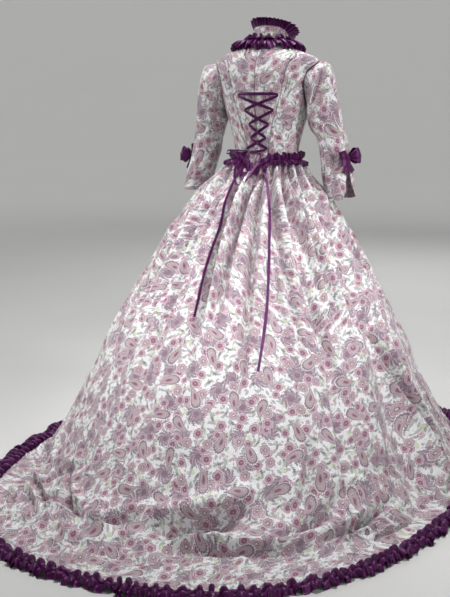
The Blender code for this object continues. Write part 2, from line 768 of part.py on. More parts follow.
def hem_frill(satin):
    """A gathered strip sewn on the hem, in four lengths. It lies on the floor all round."""
    steps = HEM_WAVES * STEPS_PER_WAVE
    part_gap = math.degrees(SEAM_GAP / 0.75)
    for part in range(HEM_FRILL_PARTS):
        first = round(steps * part / HEM_FRILL_PARTS)
        last = round(steps * (part + 1) / HEM_FRILL_PARTS)
        turns = [45 + 360 * i / steps for i in range(first, last + 1)]
        waves = [ripple(i, STEPS_PER_WAVE) for i in range(first, last + 1)]
        turns[0] += part_gap
        turns[-1] -= part_gap
        outer, inner = [], []
        for row in HEM_FRILL:
            line, inside = [], []
            for turn, height in zip(turns, waves):
                hem = form_point(turn, HEM)
                out = Vector((hem.x, hem.y, 0)).normalized()
                point = hem + out * (row.offset + 0.3 * row.wave * height)
                point.z = row.lift + row.wave * height
                line.append(point)
                inside.append(point - Vector((0, 0, RIBBON)))
            outer.append(line)
            inner.append(inside)
        wall(f"hem_frill_{part + 1}", outer, inner, satin)


def across_path(centres, normals):
    """The direction across a ribbon at each of its points, halfway between the segments beside it."""
    acrosses = []
    for i, (centre, normal) in enumerate(zip(centres, normals)):
        way = Vector()
        if i:
            way += (centre - centres[i - 1]).normalized()
        if i + 1 < len(centres):
            way += (centres[i + 1] - centre).normalized()
        acrosses.append(normal.cross(way).normalized())
    return acrosses


def ribbon(name, centres, acrosses, widths, normals, material, thickness=RIBBON):
    """A flat strip along its centre points. Each point has its own direction across, width and normal."""
    outer, inner = [], []
    for side in (-1, 1):
        line, inside = [], []
        for centre, across, width, normal in zip(centres, acrosses, widths, normals):
            point = centre + across * (side * width / 2)
            line.append(point + normal * (thickness / 2))
            inside.append(point - normal * (thickness / 2))
        outer.append(line)
        inner.append(inside)
    return wall(name, outer, inner, material)


def facets(faces):
    """The outer faces of panels as one surface that points can be laid on."""
    points, polygons = [], []
    for grid in faces:
        start, columns = len(points), len(grid[0])
        points.extend(point for row in grid for point in row)
        for i in range(len(grid) - 1):
            for j in range(columns - 1):
                corner = start + i * columns + j
                polygons.append((corner, corner + 1, corner + columns + 1))
                polygons.append((corner, corner + columns + 1, corner + columns))
    return BVHTree.FromPolygons(points, polygons)


def laid_on(surface, turn, station):
    """A point on the facets of a surface, with the outward normal of the plain outline there."""
    point, normal = form_point(turn, station), form_normal(turn, station)
    hit = surface.ray_cast(point + normal * 0.08, -normal, 0.16)[0]
    return (hit if hit is not None else point), normal


def loop_x(row, side):
    """Where a row's loop is across the back, to the wearer's left."""
    return row.left if side > 0 else -row.right


def lacing(surface, satin):
    """One ribbon: it crosses down from the right loops to the left ones and back, over a bar across the top."""
    order = [(row, 1 if row % 2 == 0 else -1) for row in range(len(LACING))]
    first_strand = list(reversed(order))
    second_strand = [(row, -side) for row, side in order]
    turns = first_strand + second_strand
    spans = list(zip(turns, turns[1:]))
    flat, lifts, widths = [], [], []
    for number, ((row_a, side_a), (row_b, side_b)) in enumerate(spans):
        a, b = LACING[row_a], LACING[row_b]
        is_bar = row_a == row_b
        over = (min(row_a, row_b) + (number >= len(order))) % 2 == 0
        for share in (0.0, 0.10, 0.25, 0.40, 0.60, 0.75, 0.90):
            x = loop_x(a, side_a) * (1 - share) + loop_x(b, side_b) * share
            height = a.height + (b.height - a.height) * share
            if is_bar:
                height += 0.006
            bulge = 1 - (2 * share - 1) ** 2
            flat.append((x, height))
            widths.append(LACE_PINCHED + (LACE_WIDTH - LACE_PINCHED) * min(1.0, 1.3 * bulge ** 2))
            low = LACE_LOW + (0.0012 if is_bar else 0)
            low = LACE_SEAT if share == 0.0 and not is_bar else low
            lifts.append(low + (LACE_HIGH - LACE_LOW) * bulge ** 2 * (1 if over or is_bar else 0))
    row, side = turns[-1]
    start_x, start_height = loop_x(LACING[row], side), LACING[row].height
    knot_x, knot_height = LACE_KNOT[0] - LACE_KNOT_SIZE[0] / 2 - 0.0006, LACE_KNOT[1]
    for share in (0.0, 0.10, 0.25, 0.4, 0.55, 0.7, 0.85, 1.0):
        bulge = 1 - (2 * share - 1) ** 2
        height = start_height + (knot_height - start_height) * share - 0.004 * bulge
        flat.append((start_x + (knot_x - start_x) * share, height))
        widths.append(LACE_PINCHED + 0.003 * bulge)
        lifts.append(LACE_LOW + 0.0015 * bulge)
    centres, normals = [], []
    for (x, height), lift in zip(flat, lifts):
        station = station_at(height)
        point, normal = laid_on(surface, turn_at(x, station), station)
        centres.append(point + normal * lift)
        normals.append(normal)
    ribbon("lace", centres, across_path(centres, normals), widths, normals, satin)


def knot(name, middle, axes, size, satin):
    """A rounded knot. axes are its three directions, the last one out of the cloth."""
    rings, columns = 4, 10

    def fill(shape):
        def place(across, out, up):
            local = (across * size[0] / 2, up * size[1] / 2, out * size[2] / 2)
            return shape.verts.new(middle + sum((axis * amount for axis, amount in zip(axes, local)), Vector()))

        rows = []
        for i in range(1, rings):
            tilt = math.pi * i / rings - math.pi / 2
            radius, up = math.cos(tilt) ** 0.6, math.sin(tilt)
            angles = [2 * math.pi * j / columns for j in range(columns)]
            rows.append([place(radius * math.cos(a), radius * math.sin(a), up) for a in angles])
        low, high = place(0, 0, -1), place(0, 0, 1)
        for j in range(columns):
            k = (j + 1) % columns
            shape.faces.new((low, rows[0][k], rows[0][j]))
            shape.faces.new((high, rows[-1][j], rows[-1][k]))
            for lower, upper in zip(rows, rows[1:]):
                shape.faces.new((lower[j], lower[k], upper[k], upper[j]))

    make_object(name, fill, satin)


def hanging(name, rows, satin):
    """A loop of the lace, held off the dress by each row's lift."""
    centres, normals = [], []
    for row in rows:
        station = station_at(row.height)
        normal = form_normal(row.turn, station)
        centres.append(form_point(row.turn, station) + normal * row.lift)
        normals.append(normal)
    ribbon(name, centres, across_path(centres, normals), [row.width for row in rows], normals, satin)


def lace_bow(surface, satin):
    x, height = LACE_KNOT
    station = station_at(height)
    point, normal = laid_on(surface, turn_at(x, station), station)
    up = (Vector((0, 0, 1)) - normal * normal.z).normalized()
    middle = point + normal * (LACE_KNOT_SIZE[2] / 2 + 0.0001)
    knot("lace_knot", middle, (up.cross(normal), up, normal), LACE_KNOT_SIZE, satin)
    hanging("lace_loop_side", LACE_LOOP_SIDE, satin)
    hanging("lace_loop_down", LACE_LOOP_DOWN, satin)


def sleeve_bow(name, side, rows, slit_turn, satin):
    """A bow on the outside of the arm at the top of the sleeve's slit."""
    angle = math.radians(slit_turn)
    outward_share, back_share = math.cos(angle), math.sin(angle)
    top, base, bottom = (
        Vector((side * (row.side + row.outward * outward_share), row.centre_y + row.foreaft * back_share, row.height))
        for row in rows[SLEEVE_SLIT_ROW - 2:SLEEVE_SLIT_ROW + 1]
    )
    row = rows[SLEEVE_SLIT_ROW - 1]
    up = (top - bottom).normalized()
    away = Vector((side * outward_share * row.foreaft, back_share * row.outward, 0)).normalized()
    out = (away - up * away.dot(up)).normalized()
    across = out.cross(up).normalized()
    base = base + out * BOW_CLEARANCE
    knot(f"{name}_knot", base + out * (BOW_KNOT[2] / 2), (across, up, out), BOW_KNOT, satin)
    for end, way in (("back", 1), ("front", -1)):
        sideways = across * (way if across.y > 0 else -way)
        centres = [base + sideways * row.off + out * row.out for row in BOW_LOOP]
        normals = []
        for i in range(len(centres)):
            path = centres[min(i + 1, len(centres) - 1)] - centres[max(i - 1, 0)]
            normals.append(up.cross(path).normalized())
        widths = [row.width for row in BOW_LOOP]
        ribbon(f"{name}_loop_{end}", centres, [up] * len(centres), widths, normals, satin)
        centres = [base + sideways * row.off - up * row.down + out * 0.004 for row in BOW_TAIL]
        normals = [out] * len(centres)
        widths = [row.width for row in BOW_TAIL]
        ribbon(f"{name}_tail_{end}", centres, across_path(centres, normals), widths, normals, satin)


def lace_ends(surface, satin):
    """The two free ends of the lace lie on the skirt's gathers."""
    for name, way in LACE_ENDS.items():
        centres, normals = [], []
        for i in range(LACE_END_STEPS + 1):
            at = i / LACE_END_STEPS * (len(way) - 1)
            turn, station = smooth([w.turn for w in way], at), smooth([w.station for w in way], at)
            reach = math.degrees(LACE_WIDTH / 2 / section_at(station).half_width)
            middle, normal = laid_on(surface, turn, station)
            near = [
                laid_on(surface, turn + reach * side, station + ahead)[0]
                for side in (-1, -0.5, 0, 0.5, 1)
                for ahead in (-LACE_END_REACH, -LACE_END_REACH / 2, 0, LACE_END_REACH / 2, LACE_END_REACH)
            ]
            height = max(point.dot(normal) for point in near) - middle.dot(normal)
            centres.append(middle + normal * (LACE_END_LIFT + height))
            normals.append(normal)
        ribbon(name, centres, across_path(centres, normals), [LACE_WIDTH] * len(centres), normals, satin)


def material(name, colour, roughness):
    made = bpy.data.materials.new(name)
    made.use_nodes = True
    shader = made.node_tree.nodes["Principled BSDF"]
    shader.inputs["Base Color"].default_value = (*colour, 1)
    shader.inputs["Roughness"].default_value = roughness
    return made


for old in list(bpy.data.objects):
    bpy.data.objects.remove(old)
PARTS = bpy.data.collections.new("victorian_dress")
bpy.context.scene.collection.children.link(PARTS)
print_cloth = material("print_cotton", (0.68, 0.56, 0.62), 0.75)
satin = material("purple_satin", (0.09, 0.012, 0.085), 0.35)
bodice_faces = facets(bodice(print_cloth))
skirt_faces = facets(skirt(print_cloth))
sleeves(print_cloth)
collar(print_cloth, satin)
waist_frill(bodice_faces, satin)
hem_frill(satin)
lacing(bodice_faces, satin)
lace_bow(bodice_faces, satin)
lace_ends(skirt_faces, satin)
sleeve_bow("bow_left", 1, SLEEVE_LEFT, SLIT_TURN_LEFT, satin)
sleeve_bow("bow_right", -1, SLEEVE_RIGHT, SLIT_TURN_RIGHT, satin)
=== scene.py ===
import math
from collections import namedtuple

import bmesh
import bpy
import numpy as np
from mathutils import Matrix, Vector
from mathutils.bvhtree import BVHTree


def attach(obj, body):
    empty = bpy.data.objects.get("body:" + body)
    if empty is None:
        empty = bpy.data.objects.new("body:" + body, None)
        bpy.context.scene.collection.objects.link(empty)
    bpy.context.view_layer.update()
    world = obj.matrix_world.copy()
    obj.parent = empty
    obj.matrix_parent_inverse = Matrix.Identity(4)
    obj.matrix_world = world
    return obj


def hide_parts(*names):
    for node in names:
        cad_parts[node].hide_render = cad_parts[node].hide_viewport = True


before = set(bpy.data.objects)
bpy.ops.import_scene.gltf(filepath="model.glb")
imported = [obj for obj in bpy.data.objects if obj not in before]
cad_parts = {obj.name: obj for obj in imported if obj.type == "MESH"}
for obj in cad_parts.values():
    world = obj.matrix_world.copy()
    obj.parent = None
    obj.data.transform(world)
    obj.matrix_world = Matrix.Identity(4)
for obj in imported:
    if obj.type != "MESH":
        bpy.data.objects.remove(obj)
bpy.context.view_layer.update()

# A Victorian style dress with a train. Metres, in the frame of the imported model.
# A turn is an angle round the body in degrees: 0 at the centre back and 90 at the wearer's left side.
# A station counts down the rows of FORM.

ORIGIN_HEIGHT = 1.40
CLOTH = 0.0011
SATIN = 0.0008
FLOOR_CLEARANCE = 0.0006

SKIRT_GATHERS = 28
COLLAR_WAVES = 34
NECK_WAVES = 33
WAIST_WAVES = 44
HEM_WAVES = 168

Section = namedtuple("Section", "height half_width front back centre_y power front_drop")
FORM = [
    Section(1.432, 0.064, 0.056, 0.062, -0.018, 2.0, 0.045),
    Section(1.407, 0.120, 0.076, 0.088, -0.006, 2.0, 0.032),
    Section(1.367, 0.186, 0.090, 0.106, 0.000, 2.0, 0.014),
    Section(1.310, 0.168, 0.112, 0.118, 0.000, 2.2, 0.000),
    Section(1.210, 0.146, 0.136, 0.112, 0.000, 2.2, 0.000),
    Section(1.130, 0.123, 0.108, 0.096, 0.000, 2.1, 0.000),
    Section(1.065, 0.113, 0.088, 0.088, 0.000, 2.0, 0.000),
    Section(1.020, 0.123, 0.104, 0.108, 0.008, 2.0, 0.000),
    Section(0.975, 0.148, 0.132, 0.148, 0.020, 2.0, 0.000),
    Section(0.900, 0.214, 0.200, 0.214, 0.048, 2.0, 0.000),
    Section(0.780, 0.297, 0.268, 0.319, 0.053, 2.0, 0.000),
    Section(0.600, 0.407, 0.380, 0.433, 0.065, 2.0, 0.000),
    Section(0.430, 0.504, 0.503, 0.529, 0.083, 2.0, 0.000),
    Section(0.270, 0.572, 0.600, 0.628, 0.083, 2.0, 0.000),
    Section(0.140, 0.640, 0.690, 0.708, 0.085, 2.0, 0.000),
    Section(0.050, 0.692, 0.764, 0.790, 0.088, 2.1, 0.000),
    Section(0.008, 0.730, 0.790, 0.930, 0.060, 2.2, 0.000),
    Section(0.0024, 0.762, 0.785, 1.150, 0.030, 2.4, 0.000),
]
NECK, MID_SHOULDER, SHOULDER_TIP, UNDERARM, WAIST = 0, 1, 2, 4, 6
HEM = len(FORM) - 1

# The bodice's lower edge: its height, and the points it drops to at the back and at the front.
EDGE_HEIGHT = 1.036
Point = namedtuple("Point", "turn reach drop")
EDGE_POINTS = [Point(0, 27, 0.052), Point(180, 34, 0.060)]

# The seam between the centre back and the side back, and the rows of the bodice's panels.
SeamPoint = namedtuple("SeamPoint", "station turn")
PRINCESS = [
    SeamPoint(1.2, 66.0),
    SeamPoint(1.5, 50.0),
    SeamPoint(2.0, 37.0),
    SeamPoint(3.0, 33.0),
    SeamPoint(3.6, 31.5),
    SeamPoint(4.0, 28.0),
    SeamPoint(5.0, 21.0),
    SeamPoint(WAIST, 18.5),
    SeamPoint(6.65, 17.5),
]
ARMHOLE_BACK, ARMHOLE_FRONT = 25.0, 31.0
BACK_EDGE = [0, 3, 6, 9, 12, 15, 17.5]
SIDE_BACK_EDGE = [17.5, 22, 27, 42, 58, 74, 90]
FRONT_EDGE = [90, 105, 120, 133, 146, 152, 160, 170, 180]
WAIST_SEAM_GAP = 0.0010

# Values that end in SHARE multiply the depths of creases. A seam has its half gap, its roll and its reach.
BODICE_SHARE = 1.35
BODICE_SEAM, SKIRT_SEAM = (0.00050, 0.0032, 0.0030), (0.00040, 0.0050, 0.0070)
CENTRE_BACK_ROWS = [7.4, 6.8, 6.35, 5.9, 5.3, 4.5, 3.7, 2.8, 1.9, 1.2, 0.6, NECK]
PRINCESS_ROWS = [6.55, 6.25, 5.95, 5.5, 4.8, 4.1, 3.3, 2.3, 1.5]
SIDE_ROWS = [6.35, 6.0, 5.2]
CENTRE_FRONT_ROWS = [
    7.2, 6.4, 5.6, 4.4, 4.0, 3.6, 3.2, 2.8, 2.4, 2.1, 1.8, 1.55, 1.3, 1.05, 0.8, 0.55, 0.3, NECK,
]

# Depths of the skirt's gathers by station. GATHER_EXTRA multiplies the main ones.
Depth = namedtuple("Depth", "station depth")
GATHER_DEPTHS = [
    Depth(6.5, 0.0055),
    Depth(7.5, 0.0075),
    Depth(8.5, 0.0100),
    Depth(9.5, 0.0125),
    Depth(10.5, 0.0110),
    Depth(11.5, 0.0070),
    Depth(12.5, 0.0032),
    Depth(14.0, 0.0008),
    Depth(HEM, 0.0000),
]
GATHER_EXTRA = [(7.0, 2.2), (8.6, 2.4), (10.0, 1.9), (12.0, 1.6)]
FINE_GATHER_DEPTHS = [
    Depth(6.5, 0.00504),
    Depth(7.5, 0.00504),
    Depth(8.5, 0.00408),
    Depth(9.5, 0.00264),
    Depth(11.0, 0.00096),
    Depth(12.5, 0.0000),
    Depth(HEM, 0.0000),
]

# Waves round the skirt: each has a size, a number of waves and a phase in degrees.
GATHER_UNEVEN = [(0.20, 5, 40), (0.14, 11, 0), (0.22, 19, 100)]
GATHER_DRIFT = [(40, 3, 20), (34, 8, 70), (26, 13, 10)]
FINE_DRIFT = [(90, 6, 0), (60, 17, 0)]
FINE_GATHERS = 67

# Broad folds. rise is negative in a hollow.
Fold = namedtuple("Fold", "turn station turn_width station_width slant rise")
FOLDS = [
    Fold(-84, 13.2, 5.5, 3.2, 1.5, 0.034),
    Fold(-72, 13.6, 5.0, 3.0, 1.2, -0.030),
    Fold(-57, 13.0, 6.0, 2.2, 0.0, 0.014),
    Fold(78, 13.4, 5.5, 2.8, -1.5, 0.030),
    Fold(66, 14.2, 5.0, 2.2, -1.0, -0.028),
    Fold(48, 14.0, 7.0, 1.8, -1.0, 0.012),
    Fold(30, 10.4, 4.5, 1.3, 1.0, -0.014),
    Fold(-30, 10.6, 4.5, 1.5, -1.0, -0.014),
    Fold(-14, 10.2, 4.5, 1.1, 0.0, -0.012),
    Fold(12, 15.7, 17.0, 0.30, 0.0, 0.026),
    Fold(-22, 15.5, 15.0, 0.32, 6.0, 0.030),
    Fold(34, 16.2, 12.0, 0.22, -4.0, 0.016),
    Fold(-6, 16.3, 16.0, 0.20, 0.0, 0.014),
    Fold(-44, 15.4, 8.0, 0.35, 5.0, 0.018),
    Fold(118, 13.5, 7.0, 2.6, 0.0, 0.018),
    Fold(-122, 13.3, 7.0, 2.6, 0.0, 0.020),
    Fold(150, 13.8, 6.0, 2.4, 0.0, 0.015),
    Fold(-155, 13.6, 6.0, 2.4, 0.0, 0.014),
]

# Creases of the skirt along a path of (turn, station). width and depth are in metres, and a negative
# depth makes a ridge.
Crease = namedtuple("Crease", "path width depth")
SKIRT_CREASES = [
    Crease([(41, 7.4), (37, 8.6), (29, 9.7), (24.5, 11.0)], 0.0106, 0.0360),
    Crease([(-12, 7.6), (-6.5, 9.5), (-4.5, 11.2)], 0.0097, 0.0330),
    Crease([(-53, 7.0), (-50, 9.2), (-52, 11.0)], 0.0106, 0.0330),
    Crease([(24, 7.4), (17, 9.2), (14, 11.2)], 0.0097, 0.0270),
    Crease([(4, 7.8), (2.5, 9.6), (0.5, 11.8)], 0.0097, 0.0225),
    Crease([(-27, 7.3), (-35, 9.4), (-40, 11.8)], 0.0097, 0.0285),
    Crease([(60, 7.2), (51, 9.0), (45, 11.2)], 0.0114, 0.0330),
    Crease([(-70, 7.2), (-64, 9.4), (-66, 11.8)], 0.0114, 0.0300),
    Crease([(33, 7.4), (22, 9.8), (19, 12.4)], 0.0123, 0.0180),
    Crease([(-19, 7.5), (-20, 9.8), (-17, 12.6)], 0.0123, 0.0195),
    Crease([(-42, 7.2), (-45, 9.6), (-50, 12.2)], 0.0114, 0.0195),
    Crease([(-95, 9.1), (-89, 9.8)], 0.0088, 0.0210),
    Crease([(-90, 10.2), (-92, 10.7), (-82, 11.4)], 0.0106, 0.0300),
    Crease([(-77, 11.6), (-80, 12.6), (-84, 13.7), (-85, 15.8)], 0.0088, 0.0510),
    Crease([(-102, 12.7), (-104, 15.0)], 0.0088, 0.0300),
    Crease([(76, 9.6), (68, 11.0), (66, 12.6)], 0.0106, 0.0270),
    Crease([(62, 12.6), (55, 14.2), (57, 15.7)], 0.0123, 0.0390),
    Crease([(70, 13.4), (66, 14.6), (68, 15.9)], 0.0110, 0.0320),
    Crease([(-36, 14.5), (-40, 13.2)], 0.0110, 0.0208),
    Crease([(-4, 15.25), (-10, 15.00), (-20, 14.58)], 0.0331, 0.0736),
    Crease([(4, 15.02), (-8, 14.72), (-20, 14.26)], 0.0300, -0.0330),
    Crease([(2, 14.9), (9, 15.35), (16, 15.75)], 0.0166, 0.0430),
    Crease([(22, 16.22), (8.6, 16.36), (-6, 16.40)], 0.0150, 0.0380),
    Crease([(-8, 15.95), (-19, 15.8), (-37, 16.0)], 0.0150, 0.0340),
    Crease([(-41, 15.6), (-50, 15.25), (-58, 15.0)], 0.0160, 0.0420),
    Crease([(-30, 15.35), (-40, 14.9), (-47, 14.3)], 0.0166, 0.0256),
    Crease([(14, 15.5), (26, 15.2), (33, 14.6)], 0.0138, 0.0330),
    Crease([(30, 15.7), (42, 15.5), (50, 15.7)], 0.0120, 0.0360),
    Crease([(27, 16.1), (38, 15.9), (47, 16.1)], 0.0101, 0.0192),
    Crease([(24, 15.0), (33, 15.4), (38, 16.0)], 0.0101, 0.0192),
    Crease([(36, 16.5), (46, 16.2), (54, 16.25)], 0.0092, 0.0160),
    Crease([(30, 14.2), (38, 14.8), (43, 15.5)], 0.0120, 0.0192),
    Crease([(78, 16.9), (68, 16.4), (58, 16.0)], 0.0147, 0.0384),
    Crease([(28, 15.9), (18, 16.4), (9, 16.7)], 0.0083, 0.0160),
    Crease([(-12, 16.62), (-26, 16.62), (-40, 16.75)], 0.0092, 0.0176),
    Crease([(-48, 16.3), (-57, 16.0), (-66, 16.1)], 0.0120, 0.0224),
    Crease([(118, 8.0), (122, 10.0), (121, 12.0)], 0.0106, 0.0270),
    Crease([(150, 8.2), (153, 10.4), (152, 12.4)], 0.0106, 0.0270),
    Crease([(176, 8.6), (175, 10.2), (177, 12.0)], 0.0097, 0.0240),
    Crease([(-160, 8.0), (-158, 10.2), (-160, 12.6)], 0.0106, 0.0270),
    Crease([(-132, 8.0), (-136, 10.0), (-134, 12.2)], 0.0106, 0.0270),
    Crease([(105, 8.4), (101, 10.4), (104, 12.6)], 0.0106, 0.0240),
    Crease([(136, 13.6), (139, 15.0), (137, 16.0)], 0.0120, 0.0256),
    Crease([(-171, 13.4), (-168, 15.0), (-170, 16.0)], 0.0120, 0.0240),
    Crease([(-118, 13.2), (-124, 14.8), (-121, 16.0)], 0.0120, 0.0256),
    Crease([(165, 15.6), (150, 15.3), (138, 15.6)], 0.0120, 0.0192),
    Crease([(-150, 15.8), (-163, 15.5), (-176, 15.7)], 0.0120, 0.0192),
]
BODICE_CREASES = [
    Crease([(-33, 4.18), (-48, 4.10), (-62, 3.95)], 0.0035, 0.0043),
    Crease([(-32, 4.42), (-46, 4.45), (-60, 4.32)], 0.0035, 0.0048),
    Crease([(-27, 4.62), (-42, 4.72), (-58, 4.70)], 0.0036, 0.0048),
    Crease([(-25, 4.90), (-36, 5.05), (-50, 5.12)], 0.0036, 0.0044),
    Crease([(-24, 5.25), (-36, 5.30), (-47, 5.45)], 0.0036, 0.0034),
    Crease([(-30, 3.60), (-38, 3.42), (-44, 3.10)], 0.0040, 0.0032),
    Crease([(27, 4.45), (40, 4.55), (54, 4.42)], 0.0038, 0.0032),
    Crease([(25, 5.00), (38, 5.12), (50, 5.08)], 0.0038, 0.0032),
    Crease([(-36.5, 3.52), (-39.5, 3.02)], 0.0022, 0.0043),
    Crease([(-40.5, 3.50), (-43.0, 3.05)], 0.0022, 0.0043),
    Crease([(-44.5, 3.48), (-46.0, 3.10)], 0.0022, 0.0037),
    Crease([(58, 3.2), (70, 3.5), (78, 4.0)], 0.0050, 0.0053),
    Crease([(-58, 3.1), (-70, 3.4), (-79, 3.9)], 0.0050, 0.0058),
    Crease([(122, 3.1), (112, 3.5), (103, 4.0)], 0.0050, 0.0053),
    Crease([(-122, 3.1), (-112, 3.5), (-103, 4.0)], 0.0050, 0.0053),
]

Panel = namedtuple("Panel", "name start end")
SKIRT_PANELS = [
    Panel("skirt_back", -48, 48),
    Panel("skirt_side_left", 48, 132),
    Panel("skirt_front", 132, 228),
    Panel("skirt_side_right", 228, 312),
]
SKIRT_STATIONS = [8, 9, 10, 11, 12, 13, 14, 15, 15.7, 16.3, HEM]
SKIRT_ROWS, SKIRT_COLUMNS = 160, 164
SKIRT_CREASE_SHARE = [(7, 1.35), (9, 1.35), (12, 1.15), (15, 1.2)]
# Where the train's crumples crowd: turn, width and share.
CROWDED = [(42, 26, 0.9), (-60, 20, 0.4)]
# How much of the folds' steady widening the print follows, by station, how far above the waist it fans
# from, and how many points on each side of one tell what is steady.
PRINT_KEPT = [(11.0, 1.0), (13.5, 0.0)]
PRINT_FAN = 0.26
FOLD_REACH = 13

Sleeve = namedtuple("Sleeve", "side centre_y height outward foreaft tilt")
SLEEVE_LEFT = [
    Sleeve(0.187, 0.003, 1.280, 0.034, 0.066, 0.077),
    Sleeve(0.197, 0.003, 1.246, 0.046, 0.067, 0.068),
    Sleeve(0.206, 0.002, 1.204, 0.051, 0.064, 0.044),
    Sleeve(0.215, -0.002, 1.156, 0.051, 0.060, 0.018),
    Sleeve(0.226, -0.008, 1.105, 0.050, 0.058, 0.000),
    Sleeve(0.240, -0.012, 1.050, 0.050, 0.058, 0.000),
    Sleeve(0.257, -0.018, 0.998, 0.048, 0.060, 0.000),
    Sleeve(0.272, -0.024, 0.960, 0.045, 0.062, 0.000),
    Sleeve(0.284, -0.028, 0.925, 0.042, 0.063, 0.000),
]
SLEEVE_RIGHT = [
    Sleeve(0.186, 0.003, 1.280, 0.033, 0.065, 0.077),
    Sleeve(0.194, 0.003, 1.246, 0.043, 0.066, 0.068),
    Sleeve(0.203, 0.002, 1.204, 0.048, 0.062, 0.044),
    Sleeve(0.216, -0.003, 1.156, 0.051, 0.058, 0.018),
    Sleeve(0.232, -0.010, 1.105, 0.050, 0.056, 0.000),
    Sleeve(0.243, -0.014, 1.048, 0.050, 0.057, 0.000),
    Sleeve(0.250, -0.020, 0.990, 0.051, 0.060, 0.000),
    Sleeve(0.255, -0.026, 0.945, 0.052, 0.063, 0.000),
    Sleeve(0.258, -0.030, 0.906, 0.052, 0.065, 0.000),
]
SLEEVE_SLIT_ROW = 6
SLEEVE_SLIT = [0, 9, 19, 36]
SLIT_TURN_LEFT, SLIT_TURN_RIGHT = 0, 24
SLEEVE_COLUMNS, SLEEVE_FINE_ROWS = 108, 96
SLEEVE_GIRTH, SLEEVE_ROW_LENGTH, SLEEVE_ROW_PRINT = 0.056, 0.046, 0.0455
SLEEVE_CREASE_SHARE = 1.3

# Creases of a sleeve along a path of (angle, row). The angle is 0 outside the arm and 90 at its back.
SLEEVE_CREASES_RIGHT = [
    Crease([(20, 0.9), (60, 1.9), (105, 2.9)], 0.0075, 0.0072),
    Crease([(40, 0.7), (85, 1.6), (125, 2.3)], 0.0070, 0.0065),
    Crease([(5, 2.0), (45, 3.1), (80, 4.4)], 0.0075, 0.0058),
    Crease([(130, 2.6), (95, 3.8), (60, 4.8)], 0.0070, 0.0043),
    Crease([(150, 4.0), (120, 4.9), (85, 5.6)], 0.0070, 0.0046),
    Crease([(70, 5.6), (80, 6.8), (72, 8.2)], 0.0090, 0.0043),
    Crease([(120, 5.8), (128, 7.0), (122, 8.4)], 0.0090, 0.0043),
    Crease([(-40, 1.2), (-75, 2.2), (-110, 3.0)], 0.0075, 0.0058),
    Crease([(-30, 3.0), (-60, 4.2), (-85, 5.4)], 0.0080, 0.0051),
]
SLEEVE_CREASES_LEFT = [
    Crease([(25, 1.0), (65, 2.0), (110, 2.8)], 0.0070, 0.0058),
    Crease([(150, 1.5), (120, 2.6), (80, 3.4)], 0.0070, 0.0051),
    Crease([(140, 3.2), (100, 4.2), (60, 5.0)], 0.0070, 0.0052),
    Crease([(160, 4.6), (125, 5.6), (100, 6.6)], 0.0080, 0.0058),
    Crease([(55, 5.8), (72, 7.0), (66, 8.4)], 0.0090, 0.0043),
    Crease([(-45, 1.2), (-80, 2.2), (-115, 3.0)], 0.0075, 0.0058),
    Crease([(-35, 3.4), (-60, 4.5), (-90, 5.6)], 0.0080, 0.0051),
]

SLEEVES = [
    ("left", 1, SLEEVE_LEFT, SLIT_TURN_LEFT, SLEEVE_CREASES_LEFT),
    ("right", -1, SLEEVE_RIGHT, SLIT_TURN_RIGHT, SLEEVE_CREASES_RIGHT),
]

COLLAR_RISE_BACK, COLLAR_RISE_FRONT, COLLAR_LEAN = 0.050, 0.026, 0.010
COLLAR_OPENING = 1.2
COLLAR_FRILL_RISE, COLLAR_FRILL_FLARE = 0.027, 0.011
COLLAR_LOPSIDED, COLLAR_DROOP = 0.55, 0.004
COLLAR_FRILL_ROWS, RUFFLE_ROWS, HEM_FRILL_ROWS = 15, 19, 17
SEAM_GAP = 0.0003
Frill = namedtuple("Frill", "offset lift")
NECK_FRILL = [Frill(-0.36, 0.0150), Frill(0.10, 0.0048), Frill(1.12, 0.0090)]
WAIST_FRILL = [Frill(-0.024, 0.0125), Frill(0.0, 0.0060), Frill(0.024, 0.0195)]

# The ruffles at the neck and the waist. Sizes are in metres: the puff, the main waves and how far they
# sway, the fine waves, how far the edges rise and dip, and the satin's width on each side of the seam.
Ruffle = namedtuple("Ruffle", "waves seed sharp puff wave sway fine dip half_width")
NECK_RUFFLE = Ruffle(NECK_WAVES, 5, 0.15, 0.0112, 0.0095, 0.0020, 0.0018, 0.0078, 0.028)
WAIST_RUFFLE = Ruffle(WAIST_WAVES, 8, 0.10, 0.0080, 0.0074, 0.0018, 0.0012, 0.0062, 0.030)
PUFF_POWER = 0.8

# The ruffle round the hem: where it starts, how wide it is, its height and puff, the share of it that lies
# on the skirt, and its distance from the skirt.
HEM_START, HEM_WIDTH, HEM_HEIGHT, HEM_PUFF = -0.007, 0.060, 0.0060, 0.0135
HEM_OVERLAP, HEM_LIFT = 0.13, 0.0016

Lacing = namedtuple("Lacing", "height left right")
LACING = [
    Lacing(1.252, 0.064, 0.084),
    Lacing(1.205, 0.040, 0.066),
    Lacing(1.158, 0.027, 0.046),
    Lacing(1.112, 0.024, 0.034),
    Lacing(1.076, 0.042, 0.037),
]
LACE_WIDTH, LACE_PINCHED = 0.010, 0.0050
LACE_LOW, LACE_HIGH = 0.0022, 0.0075
LACE_BAR_RISE, LACE_BAR_LIFT, LACE_CUP, LACE_END_LIFT = 0.006, 0.0012, 0.04, 0.0016
LACE_STEPS, LACE_LAST_STEPS = 22, 24
LACE_LAST_SAG, LACE_LAST_WIDENING, LACE_LAST_LIFT, LACE_KNOT_GAP = 0.004, 0.003, 0.0015, 0.0006
LACE_KNOT = (0.040, 1.066)
LACE_KNOT_SIZE = (0.012, 0.011, 0.014)

